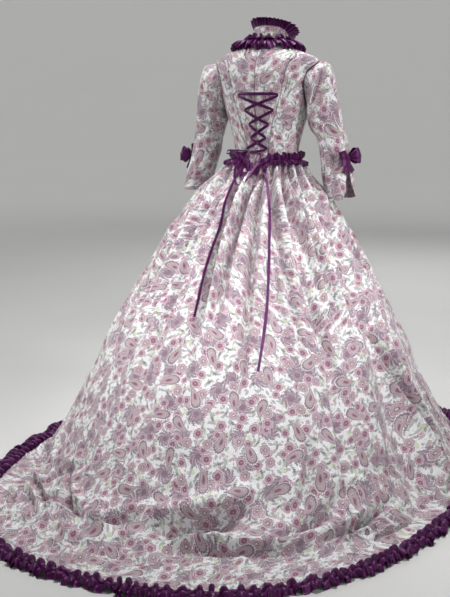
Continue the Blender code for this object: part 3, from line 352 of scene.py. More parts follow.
# The loops of the lace's own bow. lift is the distance from the dress.
Hang = namedtuple("Hang", "turn height lift width")
LACE_LOOP_SIDE = [
    Hang(24.05, 1.0680, 0.0080, 0.004),
    Hang(34, 1.0710, 0.0190, 0.005),
    Hang(48, 1.0710, 0.0275, 0.006),
    Hang(60, 1.0670, 0.0290, 0.005),
    Hang(66, 1.0560, 0.0295, 0.004),
    Hang(60, 1.0450, 0.0300, 0.005),
    Hang(48, 1.0450, 0.0305, 0.006),
    Hang(37, 1.0530, 0.0295, 0.005),
    Hang(28, 1.0610, 0.0200, 0.004),
    Hang(23.5, 1.0628, 0.0100, 0.003),
]
LACE_LOOP_DOWN = [
    Hang(20.6, 1.0582, 0.0070, 0.004),
    Hang(20.8, 1.0558, 0.0150, 0.004),
    Hang(21.2, 1.0505, 0.0265, 0.005),
    Hang(22.0, 1.0440, 0.0310, 0.006),
    Hang(22.5, 1.0280, 0.0320, 0.007),
    Hang(20, 1.0050, 0.0310, 0.008),
    Hang(14, 0.9750, 0.0330, 0.008),
    Hang(9, 0.9540, 0.0300, 0.008),
    Hang(4, 0.9430, 0.0240, 0.007),
    Hang(-1, 0.9440, 0.0240, 0.007),
    Hang(-5, 0.9580, 0.0310, 0.008),
    Hang(-7, 0.9800, 0.0330, 0.008),
    Hang(-10, 1.0100, 0.0310, 0.008),
    Hang(-11, 1.0350, 0.0230, 0.007),
    Hang(-8, 1.0500, 0.0170, 0.006),
    Hang(-1, 1.0575, 0.0090, 0.006),
    Hang(8, 1.0580, 0.0070, 0.005),
    Hang(17.2, 1.0628, 0.0070, 0.003),
]

# The free ends of the lace, down the skirt.
Way = namedtuple("Way", "turn station")
LACE_ENDS = {
    "lace_end_left": [
        Way(12.0, 7.55), Way(11.0, 8.05), Way(6.5, 9.0), Way(4.3, 9.74), Way(4.2, 10.5),
        Way(3.6, 11.17),
    ],
    "lace_end_right": [
        Way(-18.0, 7.25), Way(-20.5, 7.6), Way(-27.0, 8.5), Way(-29.4, 9.6), Way(-28.0, 10.6),
        Way(-24.0, 11.98),
    ],
}

# The sleeve bows. off is away from the knot along the ribbon's side, out is away from the arm.
Loop = namedtuple("Loop", "off out width")
BOW_LOOP = [
    Loop(0.0074, 0.0040, 0.014),
    Loop(0.0200, 0.0030, 0.032),
    Loop(0.0360, 0.0040, 0.050),
    Loop(0.0460, 0.0100, 0.056),
    Loop(0.0450, 0.0210, 0.056),
    Loop(0.0310, 0.0265, 0.050),
    Loop(0.0180, 0.0190, 0.032),
    Loop(0.0072, 0.0098, 0.014),
]
Tail = namedtuple("Tail", "off down width")
BOW_TAIL = [
    Tail(0.0035, 0.0101, 0.006),
    Tail(0.0060, 0.0240, 0.012),
    Tail(0.0120, 0.0370, 0.018),
    Tail(0.0190, 0.0520, 0.022),
]
BOW_KNOT = (0.016, 0.022, 0.013)
BOW_CLEARANCE = 0.0005
RIBBON_HALF = SATIN * 0.45

# Camera of the photograph: where it stands, and how it is aimed.
CAMERA_TURN = 22
CAMERA_DISTANCE = 3.5
CAMERA_HEIGHT = 1.2
CAMERA_YAW = 2.38
CAMERA_PITCH = 10.6
CAMERA_LENS, CAMERA_SENSOR = 60.3, 36

# Lamps: name, place, aim, size, power and spread in degrees.
LAMPS = [
    ("top", (0.2, 0.1, 3.2), (0, 0.2, -1.0), 1.2, 138, 180),
    ("key", (-3.4, 1.6, 1.9), (0, 0.3, -0.9), 0.6, 33, 180),
    ("upper_skirt", (-1.3, 3.0, 2.0), (0, 0.40, -0.80), 0.6, 2.1, 22),
    ("left_low", (3.0, 1.8, 0.4), (0.30, 0.3, -0.55), 1.0, 3.3, 38),
    ("right_low", (-3.4, 0.8, 0.4), (-0.30, 0.1, -0.45), 1.0, 2.8, 34),
    ("front", (0.5, -4.5, 2.2), (0, 0, -0.6), 2.5, 95, 180),
]
# The backdrop: where its glow starts, how far it grows and how strong, and the profile it is turned from.
GLOW_START, GLOW_REACH, GLOW = 2.5, 6.5, 0.31
FLOOR_RADIUS, COVE_RADIUS, WALL_TOP, BACKDROP_COLUMNS = 8.0, 4.0, 7.0, 64


# Curves and the plain outline

def hermite(values, at):
    """The values at fractional rows, on curves that never leave the range of the rows beside them."""
    values = np.asarray(values, float)
    at = np.clip(np.asarray(at, float), 0, len(values) - 1)
    step = np.diff(values, axis=0)
    before, after = step[:-1], step[1:]
    total = np.where(before * after > 0, before + after, 1)
    inner = np.where(before * after > 0, 2 * before * after / total, 0)
    slopes = np.concatenate([step[:1], inner, step[-1:]])
    row = np.minimum(at.astype(int), len(values) - 2)
    part = at - row
    if values.ndim > 1:
        part = part.reshape(part.shape + (1,) * (values.ndim - 1))
    square, cube = part ** 2, part ** 3
    return (
        values[row] * (2 * cube - 3 * square + 1)
        + values[row + 1] * (3 * square - 2 * cube)
        + slopes[row] * (cube - 2 * square + part)
        + slopes[row + 1] * (cube - square)
    )


def signed_power(value, power):
    return np.sign(value) * np.abs(value) ** power


def form(turn, station):
    """Points of the dress's plain outline, before gathers and folds."""
    turn, station = np.broadcast_arrays(np.asarray(turn, float), np.asarray(station, float))
    height, half_width, front, back, centre_y, power, front_drop = np.moveaxis(hermite(FORM, station), -1, 0)
    across, along = np.sin(np.radians(turn)), np.cos(np.radians(turn))
    depth = np.where(along > 0, back, front)
    return np.stack([
        half_width * signed_power(across, 2 / power),
        centre_y + depth * signed_power(along, 2 / power),
        height - front_drop * ((1 - along) / 2) ** 2 - ORIGIN_HEIGHT,
    ], axis=-1)


def unit(vectors):
    return vectors / np.maximum(np.linalg.norm(vectors, axis=-1, keepdims=True), 1e-12)


def form_normal(turn, station):
    turn, station = np.broadcast_arrays(np.asarray(turn, float), np.asarray(station, float))
    low, high = np.maximum(station - 0.02, 0), np.minimum(station + 0.02, HEM)
    round_it = form(turn + 0.5, station) - form(turn - 0.5, station)
    down_it = form(turn, high) - form(turn, low)
    return unit(np.cross(round_it, down_it))


FINE_STATIONS = np.linspace(SHOULDER_TIP, HEM, 3001)
FINE_HEIGHTS = hermite(FORM, FINE_STATIONS)[:, 0]


def station_at(height):
    return np.interp(-np.asarray(height, float), -FINE_HEIGHTS, FINE_STATIONS)


def half_width_at(station):
    return hermite(FORM, station)[..., 1]


def turn_at(x, station):
    row = hermite(FORM, station)
    share = np.minimum(1.0, np.abs(x) / row[..., 1])
    return np.degrees(np.arcsin(share ** (row[..., 5] / 2))) * np.sign(x)


def wrapped(turn):
    return (turn + 180) % 360 - 180


def edge_height(turn):
    turn = np.asarray(turn, float)
    drop = sum(
        point.drop * np.maximum(0.0, 1 - np.abs(wrapped(turn - point.turn)) / point.reach) ** 1.25
        for point in EDGE_POINTS
    )
    return EDGE_HEIGHT - drop


def edge_station(turn):
    return station_at(edge_height(turn))


def lookup(rows, at):
    return np.interp(at, [row[0] for row in rows], [row[1] for row in rows])


def ripples(rows, turn):
    return sum(size * np.sin(np.radians(count * turn + phase)) for size, count, phase in rows)


def distances(points):
    """How far each point of a line is along it."""
    return np.concatenate([[0], np.cumsum(np.linalg.norm(np.diff(points, axis=0), axis=1))])


# Relief

WAVE_COUNT = 26
CRUMPLE_MEAN = 0.4


def waves(points, size, seed):
    """A smooth uneven field from -1 to 1, with features of about this size in metres."""
    rng = np.random.default_rng(seed)
    total = np.zeros(points.shape[:-1])
    for _ in range(WAVE_COUNT):
        way = unit(rng.normal(size=points.shape[-1]))
        pitch = 2 * np.pi / (size * rng.uniform(0.7, 1.6))
        total += np.sin(points @ way * pitch + rng.uniform(0, 2 * np.pi))
    return total / math.sqrt(WAVE_COUNT / 2) / 1.6


def crumple(points, size, seed):
    """Sharp ridges between soft hollows, about 0 in the mean."""
    return (1 - np.abs(np.clip(waves(points, size, seed), -1, 1))) ** 2 - CRUMPLE_MEAN


def crease_depth(crease, turn, station, across_scale, down_scale):
    """A valley along the crease's path, fading at both ends. The scales give metres."""
    best = np.full(turn.shape, 1e9)
    passed = np.zeros(turn.shape)
    for number, ((turn_a, station_a), (turn_b, station_b)) in enumerate(zip(crease.path, crease.path[1:])):
        px, py = wrapped(turn - turn_a) * across_scale, (station - station_a) * down_scale
        qx, qy = wrapped(turn_b - turn_a) * across_scale, (station_b - station_a) * down_scale
        share = np.clip((px * qx + py * qy) / (qx * qx + qy * qy), 0, 1)
        distance = np.hypot(px - share * qx, py - share * qy)
        passed = np.where(distance < best, number + share, passed)
        best = np.minimum(distance, best)
    share = passed / (len(crease.path) - 1)
    fade = np.sin(np.pi * np.clip(0.06 + 0.88 * share, 0, 1)) ** 0.7
    near = best / crease.width
    valley = np.exp(-near ** 1.6) - 0.26 * np.exp(-((near - 2.1) / 0.9) ** 2)
    return -crease.depth * fade * valley


def creased(creases, turn, station, across_scale, down_scale):
    return sum(crease_depth(crease, turn, station, across_scale, down_scale) for crease in creases)


STATION_POINTS = np.linspace(0, HEM, 400)
BACK_LENGTH = distances(form(0, STATION_POINTS))


def metres_per_station(station):
    return np.interp(station, STATION_POINTS, np.gradient(BACK_LENGTH, STATION_POINTS))


def body_creases(creases, turn, station):
    across_scale = np.radians(half_width_at(station))
    return creased(creases, turn, station, across_scale, metres_per_station(station))


def gather(turn, station):
    """The skirt's gathers: main ones of uneven depth that drift round it, and fine ones."""
    uneven = 0.80 + ripples(GATHER_UNEVEN, turn) + 0.10 * np.sin(np.radians(7 * turn) + 0.9 * station)
    drift = ripples(GATHER_DRIFT, turn) + 5 * (station - 8) * np.sin(np.radians(9 * turn + 50))
    wave_turn = np.radians(SKIRT_GATHERS * turn + 45 + drift)
    ridge = 2 * np.sqrt(np.cos(wave_turn / 2) ** 2 + 0.015) - 1.05
    fine_turn = np.radians(FINE_GATHERS * turn + ripples(FINE_DRIFT, turn) + 20 * station)
    fine = 1.6 * np.sqrt(np.cos(fine_turn / 2) ** 2 + 0.02) - 0.9
    main = lookup(GATHER_DEPTHS, station) * lookup(GATHER_EXTRA, station) * uneven * ridge
    return main + lookup(FINE_GATHER_DEPTHS, station) * fine


def fold(turn, station):
    total = np.zeros(np.broadcast(turn, station).shape)
    for row in FOLDS:
        down = (station - row.station) / row.station_width
        around = wrapped(turn - row.turn - row.slant * (station - row.station)) / row.turn_width
        total = total + row.rise * np.exp(-around * around - down * down)
    return total * np.clip((HEM - station) / 0.5, 0, 1)


def above_floor(points, clearance):
    points[..., 2] = np.maximum(points[..., 2], clearance - ORIGIN_HEIGHT)
    return points


def skirt_surface(turn, station):
    """The skirt's outer face. Its creases and crumples fade at the hem."""
    plain, normal = form(turn, station), form_normal(turn, station)
    creases = lookup(SKIRT_CREASE_SHARE, station) * body_creases(SKIRT_CREASES, turn, station)
    low = np.clip((station - 12.5) / 3.0, 0, 1)
    crowded = 0.7 + sum(share * np.exp(-(wrapped(turn - at) / width) ** 2) for at, width, share in CROWDED)
    stretched = plain * np.array([1.0, 1.0, 2.2])
    train = low * crowded * (0.0125 * crumple(stretched, 0.17, 5) + 0.0060 * crumple(stretched, 0.065, 6))
    high = np.clip((station - 7.2) / 1.5, 0, 1)
    upper = high * (0.0024 * waves(plain, 0.16, 8) + 0.0014 * crumple(plain, 0.06, 9))
    edge = np.clip((HEM - station) / 0.35, 0, 1)
    out = gather(turn, station) + fold(turn, station) + edge * (creases + train + upper)
    return above_floor(plain + normal * out[..., None], CLOTH + FLOOR_CLEARANCE)


def bodice_surface(turn, station):
    plain = form(turn, station)
    out = BODICE_SHARE * body_creases(BODICE_CREASES, turn, station)
    out = out + 0.0009 * waves(plain, 0.05, 12) + 0.0009 * crumple(plain, 0.045, 13)
    return plain + form_normal(turn, station) * out[..., None]


# Meshes

SHARP_ANGLE = 60
WELD_DISTANCE = 1e-6


def grid_normals(grid, closed=False):
    if closed:
        ring = grid[:, :-1]
        round_it = np.roll(ring, -1, axis=1) - np.roll(ring, 1, axis=1)
        round_it = np.concatenate([round_it, round_it[:, :1]], axis=1)
    else:
        round_it = np.gradient(grid, axis=1)
    return unit(np.cross(round_it, np.gradient(grid, axis=0)))


def numbered(rows, columns, closed=False):
    """The numbers of a grid's points. In a closed grid the last column is the first one again."""
    width = columns - 1 if closed else columns
    return np.arange(rows)[:, None] * width + np.arange(columns) % width


def quads(number):
    """The four corners of each cell of a grid."""
    return np.stack([number[:-1, :-1], number[:-1, 1:], number[1:, 1:], number[1:, :-1]], -1).reshape(-1, 4)


def mesh_of(name, points, faces, material, uv=None, corners=None):
    """A mesh with, for cloth, the UV that each corner of its faces has."""
    mesh = bpy.data.meshes.new(name)
    mesh.from_pydata(points.reshape(-1, 3).tolist(), [], faces.tolist())
    if uv is not None:
        layer = mesh.uv_layers.new(name="cloth")
        layer.data.foreach_set("uv", uv.reshape(-1, 2)[corners.reshape(-1)].reshape(-1))
    mesh.materials.append(material)
    return mesh


def linked(name, data):
    made = bpy.data.objects.new(name, data)
    bpy.context.scene.collection.objects.link(made)
    return made


def cloth(name, outer, inner, uv, material, closed=False, welded=0):
    """A thin wall between two grids of points, with its UV in metres of cloth."""
    rows, columns = outer.shape[:2]
    number, uv_number = numbered(rows, columns, closed), numbered(rows, columns)
    width = columns - 1 if closed else columns
    points = np.concatenate([grid[:, :width].reshape(-1, 3) for grid in (outer, inner)])
    flip = rows * width
    front, front_uv = quads(number), quads(uv_number)
    faces, corners = [front, front[:, ::-1] + flip], [front_uv, front_uv[:, ::-1]]
    edges = [(number[0], uv_number[0], True), (number[-1], uv_number[-1], False)]
    if not closed:
        edges += [(number[welded:, side], uv_number[welded:, side], side == -1) for side in (0, -1)]
    for line, uv_line, forward in edges:
        ends = slice(None, -1), slice(1, None)
        first, second = reversed(ends) if forward else ends
        one, two = line[first], line[second]
        faces.append(np.stack([one, two, two + flip, one + flip], -1))
        corners.append(np.stack([uv_line[first], uv_line[second], uv_line[second], uv_line[first]], -1))
    faces, corners = np.concatenate(faces)[:, ::-1], np.concatenate(corners)[:, ::-1]
    return place(name, mesh_of(name, points, faces, material, uv, corners))


def place(name, mesh):
    mesh.validate()
    mesh.shade_smooth()
    mesh.set_sharp_from_angle(angle=math.radians(SHARP_ANGLE))
    made = linked(name, mesh)
    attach(made, "root")
    return made


def weld(made, outside=False):
    """Joins points that lie on each other and, with outside, turns all faces outwards."""
    shape = bmesh.new()
    shape.from_mesh(made.data)
    bmesh.ops.remove_doubles(shape, verts=shape.verts, dist=WELD_DISTANCE)
    if outside:
        bmesh.ops.recalc_face_normals(shape, faces=shape.faces)
    shape.to_mesh(made.data)
    shape.free()


def arc_lengths(grid):
    """Distances across and down a grid of points, from its middle column and its first row."""
    across = np.linalg.norm(np.diff(grid, axis=1), axis=-1)
    across = np.concatenate([np.zeros((grid.shape[0], 1)), np.cumsum(across, axis=1)], axis=1)
    middle = grid.shape[1] // 2
    down = np.repeat(distances(grid[:, middle])[:, None], grid.shape[1], axis=1)
    return across - across[:, middle:middle + 1], down


def middle_lengths(grid):
    """Distances across a grid along its middle row, for all its rows."""
    middle = len(grid) // 2
    return arc_lengths(grid[middle:middle + 1].repeat(len(grid), axis=0))[0]


def taken_up(plain, shaped, axis, kept=0.0):
    """How far the folds carry the cloth past the plain form, with this share of its steady part."""
    extra = [np.linalg.norm(np.diff(grid, axis=axis), axis=-1) for grid in (shaped, plain)]
    total = np.cumsum(np.insert(extra[0] - extra[1], 0, 0, axis=axis), axis=axis)
    reach, count = FOLD_REACH, total.shape[axis]
    padded = np.pad(total, [(reach + 1, reach) if k == axis else (0, 0) for k in (0, 1)], mode="edge")
    summed = np.cumsum(padded, axis=axis)
    low, high = (np.take(summed, np.arange(count) + start, axis) for start in (0, 2 * reach + 1))
    steady = (high - low) / (2 * reach + 1)
    return total - steady + kept * (steady - np.take(steady, [count // 2], axis))


def share_of(count):
    return np.linspace(0, 1, count)


def refined(grid, rows, columns):
    """A coarse grid on smooth curves through its points."""
    coarse = np.array(grid, float)
    tall = hermite(coarse, share_of(rows) * (coarse.shape[0] - 1))
    wide = hermite(np.swapaxes(tall, 0, 1), share_of(columns) * (coarse.shape[1] - 1))
    return np.swapaxes(wide, 0, 1)


def stands_for(node):
    """Hides the solid that a piece stands for."""
    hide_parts(node)


# Bodice

def spread(first, last, steps):
    return [tuple(a + (b - a) * i / steps for a, b in zip(first, last)) for i in range(steps + 1)]


def patch(bottom, top, left, right):
    columns, rows = len(bottom) - 1, len(left) - 1
    corners = bottom[0], bottom[-1], top[0], top[-1]
    grid = []
    for i in range(rows + 1):
        v = i / rows
        line = []
        for j in range(columns + 1):
            u = j / columns
            line.append(tuple(
                (1 - v) * low + v * high + (1 - u) * near + u * far
                - (1 - u) * (1 - v) * c0 - u * (1 - v) * c1 - (1 - u) * v * c2 - u * v * c3
                for low, high, near, far, c0, c1, c2, c3
                in zip(bottom[j], top[j], left[i], right[i], *corners)
            ))
        grid.append(line)
    return grid


def armhole(reach, steps=6):
    share = share_of(33)
    turns = 90 + reach * np.sin(np.pi * share) ** 0.85
    stations = UNDERARM + (SHOULDER_TIP - UNDERARM) * share
    points = form(turns, stations)
    lengths = distances(points)
    at = lengths[-1] * share_of(steps + 1)
    return list(zip(np.interp(at, lengths, turns), np.interp(at, lengths, stations)))


def side_and_armhole(reach):
    return [(90, station) for station in [float(edge_station(90))] + SIDE_ROWS] + armhole(reach)


def lower_edge(turns):
    return [(turn, float(edge_station(turn))) for turn in turns]


def bodice(material):
    """Three panels on each side. Each one's print starts elsewhere. Returns their outer faces."""
    start = BACK_EDGE[-1]
    seam = [(start, float(edge_station(start)))]
    seam += [(float(lookup([(row.station, row.turn) for row in PRINCESS], s)), s) for s in PRINCESS_ROWS]
    seam.append((90, MID_SHOULDER))
    shoulder = spread((90, SHOULDER_TIP), (90, MID_SHOULDER), 6)
    shoulder_top = spread((90, MID_SHOULDER), (90, NECK), 2)
    panels = {
        "bodice_back": (patch(
            lower_edge(BACK_EDGE),
            spread((0, NECK), (90, NECK), 6),
            [(0, station) for station in [float(edge_station(0))] + CENTRE_BACK_ROWS],
            seam + shoulder_top[1:],
        ), 134, 46),
        "bodice_side_back": (patch(
            lower_edge(SIDE_BACK_EDGE),
            shoulder[::-1],
            seam,
            side_and_armhole(-ARMHOLE_BACK),
        ), 116, 52),
        "bodice_front": (patch(
            lower_edge(FRONT_EDGE),
            spread((90, NECK), (180, NECK), 8),
            side_and_armhole(ARMHOLE_FRONT) + shoulder[1:] + shoulder_top[1:],
            [(180, station) for station in [float(edge_station(180))] + CENTRE_FRONT_ROWS],
        ), 130, 66),
    }
    faces = []
    for name, (grid, rows, columns) in panels.items():
        for side, mirror in (("left", 1), ("right", -1)):
            fine = refined(grid, rows, columns)
            turn, station = mirror * fine[..., 0], fine[..., 1]
            normal = form_normal(turn, station)
            outer = pulled_in(bodice_surface(turn, station), normal, *BODICE_SEAM)
            across, _ = arc_lengths(form(turn, station))
            down = (outer[..., 2].max() - outer[..., 2]) * 1.03
            uv = np.stack([mirror * across + 0.37 * len(faces), -down + 0.21 * len(faces)], -1)
            made = cloth(f"bodice_cloth_{name[7:]}_{side}", outer, outer - normal * CLOTH, uv, material)
            if mirror > 0:
                made.data.flip_normals()
            stands_for(f"{name}_{side}")
            faces.append(outer)
    return faces


def pulled_in(grid, normal, gap, roll, reach):
    """Draws a panel's four sides in by half a seam, and rolls the cloth under over this reach beside them."""
    moved = grid.copy()
    for axis, index, beside in ((0, 0, 1), (0, -1, -2), (1, 0, 1), (1, -1, -2)):
        edge, next_to = np.take(grid, index, axis=axis), np.take(grid, beside, axis=axis)
        way = unit(next_to - edge)
        distance = np.linalg.norm(grid - np.expand_dims(edge, axis), axis=-1)
        moved -= normal * (roll * np.exp(-(distance / reach) ** 2))[..., None]
        if axis == 0:
            moved[index] += way * gap
        else:
            moved[:, index] += way * gap
    return moved


# Skirt

def skirt_grid(turns):
    """Stations of the skirt's rows for these turns: the first follows the bodice's edge and dips with it."""
    top = station_at(edge_height(turns) - WAIST_SEAM_GAP)
    rows = [top]
    for number, plain in enumerate(SKIRT_STATIONS, start=1):
        rows.append(plain + np.maximum(0.0, top + 0.35 * number - plain))
    coarse = np.array(rows)
    spacing = distances(form(0, coarse[:, :1])[:, 0])
    steps = np.arange(len(coarse))
    at = np.interp(share_of(SKIRT_ROWS) * spacing[-1], spacing, steps)
    return np.stack([np.interp(at, steps, column) for column in coarse.T], axis=1)


def skirt(material):
    """Four gathered panels. The print fans out from above the waist and follows the folds."""
    faces = []
    for number, panel in enumerate(SKIRT_PANELS):
        turns = np.linspace(panel.start, panel.end, SKIRT_COLUMNS)
        station = skirt_grid(turns)
        turn = np.repeat(turns[None], SKIRT_ROWS, axis=0)
        normal = form_normal(turn, station)
        outer = pulled_in(skirt_surface(turn, station), normal, *SKIRT_SEAM)
        outer = above_floor(outer, CLOTH + FLOOR_CLEARANCE)
        inner = above_floor(outer - normal * CLOTH, FLOOR_CLEARANCE)
        plain = form(turn, station)
        across, down = arc_lengths(plain)
        radius = down + taken_up(plain, outer, 0) + PRINT_FAN
        angle = (across + taken_up(plain, outer, 1, lookup(PRINT_KEPT, station))) / radius
        uv = np.stack([radius * np.sin(angle) + 1.9 * number, -radius * np.cos(angle)], -1)
        made = cloth(f"skirt_cloth_{panel.name[6:]}", outer, inner, uv, material)
        made.data.flip_normals()
        stands_for(panel.name)
        faces.append(outer)
    return faces


# Sleeves

def armhole_ring(side, columns):
    back, front = armhole(-ARMHOLE_BACK, 30), armhole(ARMHOLE_FRONT, 30)
    loop = list(reversed(back)) + front[1:]
    points = form(np.array([turn for turn, _ in loop]), np.array([station for _, station in loop]))
    points[-1] = points[0]
    middle = points[:-1].mean(axis=0)
    at = share_of(columns) * (len(points) - 1)
    ring = np.stack([np.interp(at, np.arange(len(points)), points[:, k]) for k in range(3)], -1)
    ring = ring + unit(middle - ring) * (SEAM_GAP * 2) + np.array([SEAM_GAP * 2, 0, 0])
    ring[:, 0] *= side
    return ring


def sleeve_rows(side, rows, slit_turn, columns):
    outer = [armhole_ring(side, columns)]
    for number, row in enumerate(rows, start=1):
        half_slit = SLEEVE_SLIT[number - SLEEVE_SLIT_ROW] if number >= SLEEVE_SLIT_ROW else 0
        start = slit_turn * min(1.0, number / SLEEVE_SLIT_ROW)
        angle = np.radians(start + half_slit + (360 - 2 * half_slit) * share_of(columns))
        out, back = np.cos(angle), np.sin(angle)
        rounding = 0.014 * np.maximum(0.0, out) ** 3 if number == len(rows) else 0.0
        outer.append(np.stack([
            side * (row.side + row.outward * out),
            row.centre_y + row.foreaft * back,
            row.height + row.tilt * out + rounding - ORIGIN_HEIGHT,
        ], -1))
    return np.array(outer)


def sleeves(material):
    for number, (name, side, rows, slit_turn, creases) in enumerate(SLEEVES):
        coarse = sleeve_rows(side, rows, slit_turn, SLEEVE_COLUMNS + 1)
        at = share_of(SLEEVE_FINE_ROWS) * (len(coarse) - 1)
        base = hermite(coarse, at)
        closed_rows = int(np.searchsorted(at, SLEEVE_SLIT_ROW - 0.001))
        base[:closed_rows, -1] = base[:closed_rows, 0]
        normal = grid_normals(base) * -side
        normal[:closed_rows] = (grid_normals(base, closed=True) * -side)[:closed_rows]
        angle = np.repeat((360 * share_of(SLEEVE_COLUMNS + 1) + slit_turn)[None], len(at), axis=0)
        row = np.repeat(at[:, None], SLEEVE_COLUMNS + 1, axis=1)
        folds = creased(creases, angle, row, math.radians(SLEEVE_GIRTH), SLEEVE_ROW_LENGTH)
        folds = folds * SLEEVE_CREASE_SHARE
        cap = np.exp(-((row - 0.45) / 0.5) ** 2) * np.clip(np.cos(np.radians(angle * 0.5)) ** 2, 0, 1)
        eased = 0.0016 * cap * np.cos(np.radians(17 * angle)) * (np.cos(np.radians(angle)) > -0.2)
        uneven = 0.0012 * waves(base, 0.06, 21 + number) + 0.0008 * crumple(base, 0.035, 25 + number)
        fade = np.clip(row / 0.3, 0, 1) * np.clip((9 - row) / 0.2, 0.2, 1)
        outer = base + normal * ((folds + eased + uneven) * fade)[..., None]
        outer[:closed_rows, -1] = outer[:closed_rows, 0]
        inner = outer - normal * CLOTH
        inner[:closed_rows, -1] = inner[:closed_rows, 0]
        uv = np.stack([arc_lengths(base)[0] + 3.1 + 0.8 * number, -row * SLEEVE_ROW_PRINT - 0.6], -1)
        made = cloth(f"sleeve_cloth_{name}", outer, inner, uv, material, welded=closed_rows - 1)
        weld(made)
        if side < 0:
            made.data.flip_normals()
        stands_for(f"sleeve_{name}")


# Collar and ruffles

def collar_point(turn, share):
    """The stand collar, from the neck seam at share 0 to its top edge at share 1."""
    turn, share = np.broadcast_arrays(np.asarray(turn, float), np.asarray(share, float))
    base = form(turn, NECK)
    frontness = (1 - np.cos(np.radians(turn))) / 2
    rise = COLLAR_RISE_BACK + (COLLAR_RISE_FRONT - COLLAR_RISE_BACK) * frontness
    centre = base * np.array([0, 0, 1.0]) + np.array([0, FORM[NECK].centre_y, 0])
    lift = np.stack([0 * share, -COLLAR_LEAN * share, rise * share + SEAM_GAP * 3], -1)
    return centre + (base - centre) * (1 - 0.07 * share)[..., None] + lift


def outward(turn):
    turn = np.asarray(turn, float)
    return np.stack([np.sin(np.radians(turn)), np.cos(np.radians(turn)), 0 * turn], -1)


def along(turn):
    return outward(np.asarray(turn, float) + 90)


def open_turns(count):
    return np.linspace(-180 + COLLAR_OPENING, 180 - COLLAR_OPENING, count)


def ruffle_phase(turn, waves_round, seed):
    """The angle and size of a frill's waves, which crowd in some places and spread in others."""
    rng = np.random.default_rng(seed)
    around = np.radians(turn)
    angle = waves_round * around
    for share in (0.05, 0.11, 0.19, 0.31):
        count = max(1, round(share * waves_round))
        angle = angle + 0.17 / share * np.sin(count * around + rng.uniform(0, 6.28))
    size = 0.80
    for share in (0.13, 0.29, 0.47):
        count = max(1, round(share * waves_round))
        size = size + 0.19 * np.sin(count * around + rng.uniform(0, 6.28))
    return angle, size


def ruffle(turn, waves_round, seed, sharp=0.0):
    angle, size = ruffle_phase(turn, waves_round, seed)
    return size * (np.cos(angle) + sharp * np.cos(2 * angle + 0.8))


def sway(turn, waves_round, seed):
    """Moves a ruffle's sides along the frill, which rounds its puffs and steepens its recesses."""
    angle, size = ruffle_phase(turn, waves_round, seed)
    return size * np.sin(2 * angle)


def satin_frill(node, outer, height, satin, closed=False):
    """A frill. height is how far each point lies across its strip."""
    inner = outer - grid_normals(outer, closed) * SATIN
    if closed:
        inner[:, -1] = inner[:, 0]
    uv = np.stack([middle_lengths(outer), height], -1)
    made = cloth(f"{node}_satin", outer, inner, uv, satin, closed=closed)
    made.data.flip_normals()
    stands_for(node)


def collar(cotton):
    turn, share = np.meshgrid(open_turns(160), share_of(10))
    outer = collar_point(turn, share)
    outer = outer + outward(turn) * (0.0006 * waves(outer, 0.03, 31))[..., None]
    uv = np.stack([arc_lengths(outer)[0] + 5.2, share * 0.05], -1)
    made = cloth("collar_cloth", outer, outer - outward(turn) * CLOTH, uv, cotton)
    stands_for("collar_stand")


def collar_frill(satin):
    """The frill on the collar's top edge. It flares further on the right, where it droops."""
    turn, share = np.meshgrid(open_turns(COLLAR_WAVES * 13), share_of(COLLAR_FRILL_ROWS))
    wave = ruffle(turn, COLLAR_WAVES, 3, 0.25) * (0.0004 + 0.0040 * share ** 0.8)
    rightward = -np.sin(np.radians(turn))
    flare = COLLAR_FRILL_FLARE * share ** 1.3 * (1 + 0.8 * (1 - np.cos(np.radians(turn))))
    flare = flare * (1 + COLLAR_LOPSIDED * rightward)
    up = np.stack([0 * share, -COLLAR_LEAN * 0.4 * share, SEAM_GAP + COLLAR_FRILL_RISE * share], -1)
    up[..., 2] += share * (0.0012 * ruffle(turn, COLLAR_WAVES, 4) - COLLAR_DROOP * rightward)
    outer = collar_point(turn, 1) + outward(turn) * (flare + wave)[..., None] + up
    uv = np.stack([arc_lengths(outer[:1].repeat(COLLAR_FRILL_ROWS, axis=0))[0], share * 0.03], -1)
    made = cloth("collar_frill_satin", outer, outer - outward(turn) * SATIN, uv, satin)
    stands_for("collar_frill")


def puff_shape(t):
    """0 at a ruffle's seam, where t is 0, and at its edges, and 1 between them."""
    return np.sin(np.pi * np.abs(t) ** PUFF_POWER)


def puffed(turn, t, size):
    """A ruffle's main wave and how far its sides sway, both growing away from its seam at t 0."""
    turn, away = turn + 4 * t, np.abs(t) ** 0.7
    wave = ruffle(turn, size.waves, size.seed, size.sharp) * size.wave * away
    return wave, sway(turn, size.waves, size.seed) * size.sway * away


def neck_frill(satin):
    """The ruffle round the neck seam, sewn down along its middle."""
    size = NECK_RUFFLE
    turn, t = np.meshgrid(open_turns(NECK_WAVES * 16), np.linspace(-1, 1, RUFFLE_ROWS))
    upper, middle, lower = NECK_FRILL
    top = collar_point(turn, -upper.offset) + outward(turn) * upper.lift
    seam = form(turn, middle.offset) + form_normal(turn, middle.offset) * middle.lift
    hem_normal = form_normal(turn, lower.offset)
    hem = form(turn, lower.offset) + hem_normal * lower.lift
    near, far = np.clip(-t, 0, 1)[..., None], np.clip(t, 0, 1)[..., None]
    outer = seam + (top - seam) * near ** 0.85 + (hem - seam) * far ** 0.95
    normal = unit(outward(turn) * near + hem_normal * far + 1e-6)
    puff = size.puff * puff_shape(t) * (1 + 0.25 * ruffle(turn, 11, 16))
    wave, swayed = puffed(turn, t, size)
    wave = wave + ruffle(turn + 2 * t, 83, 6) * size.fine
    outer = outer + normal * (puff + wave)[..., None] + along(turn) * swayed[..., None]
    outer[..., 2] += size.dip * t * ruffle(turn, 19, 7) * np.abs(t)
    satin_frill("neck_frill", outer, t * size.half_width, satin)


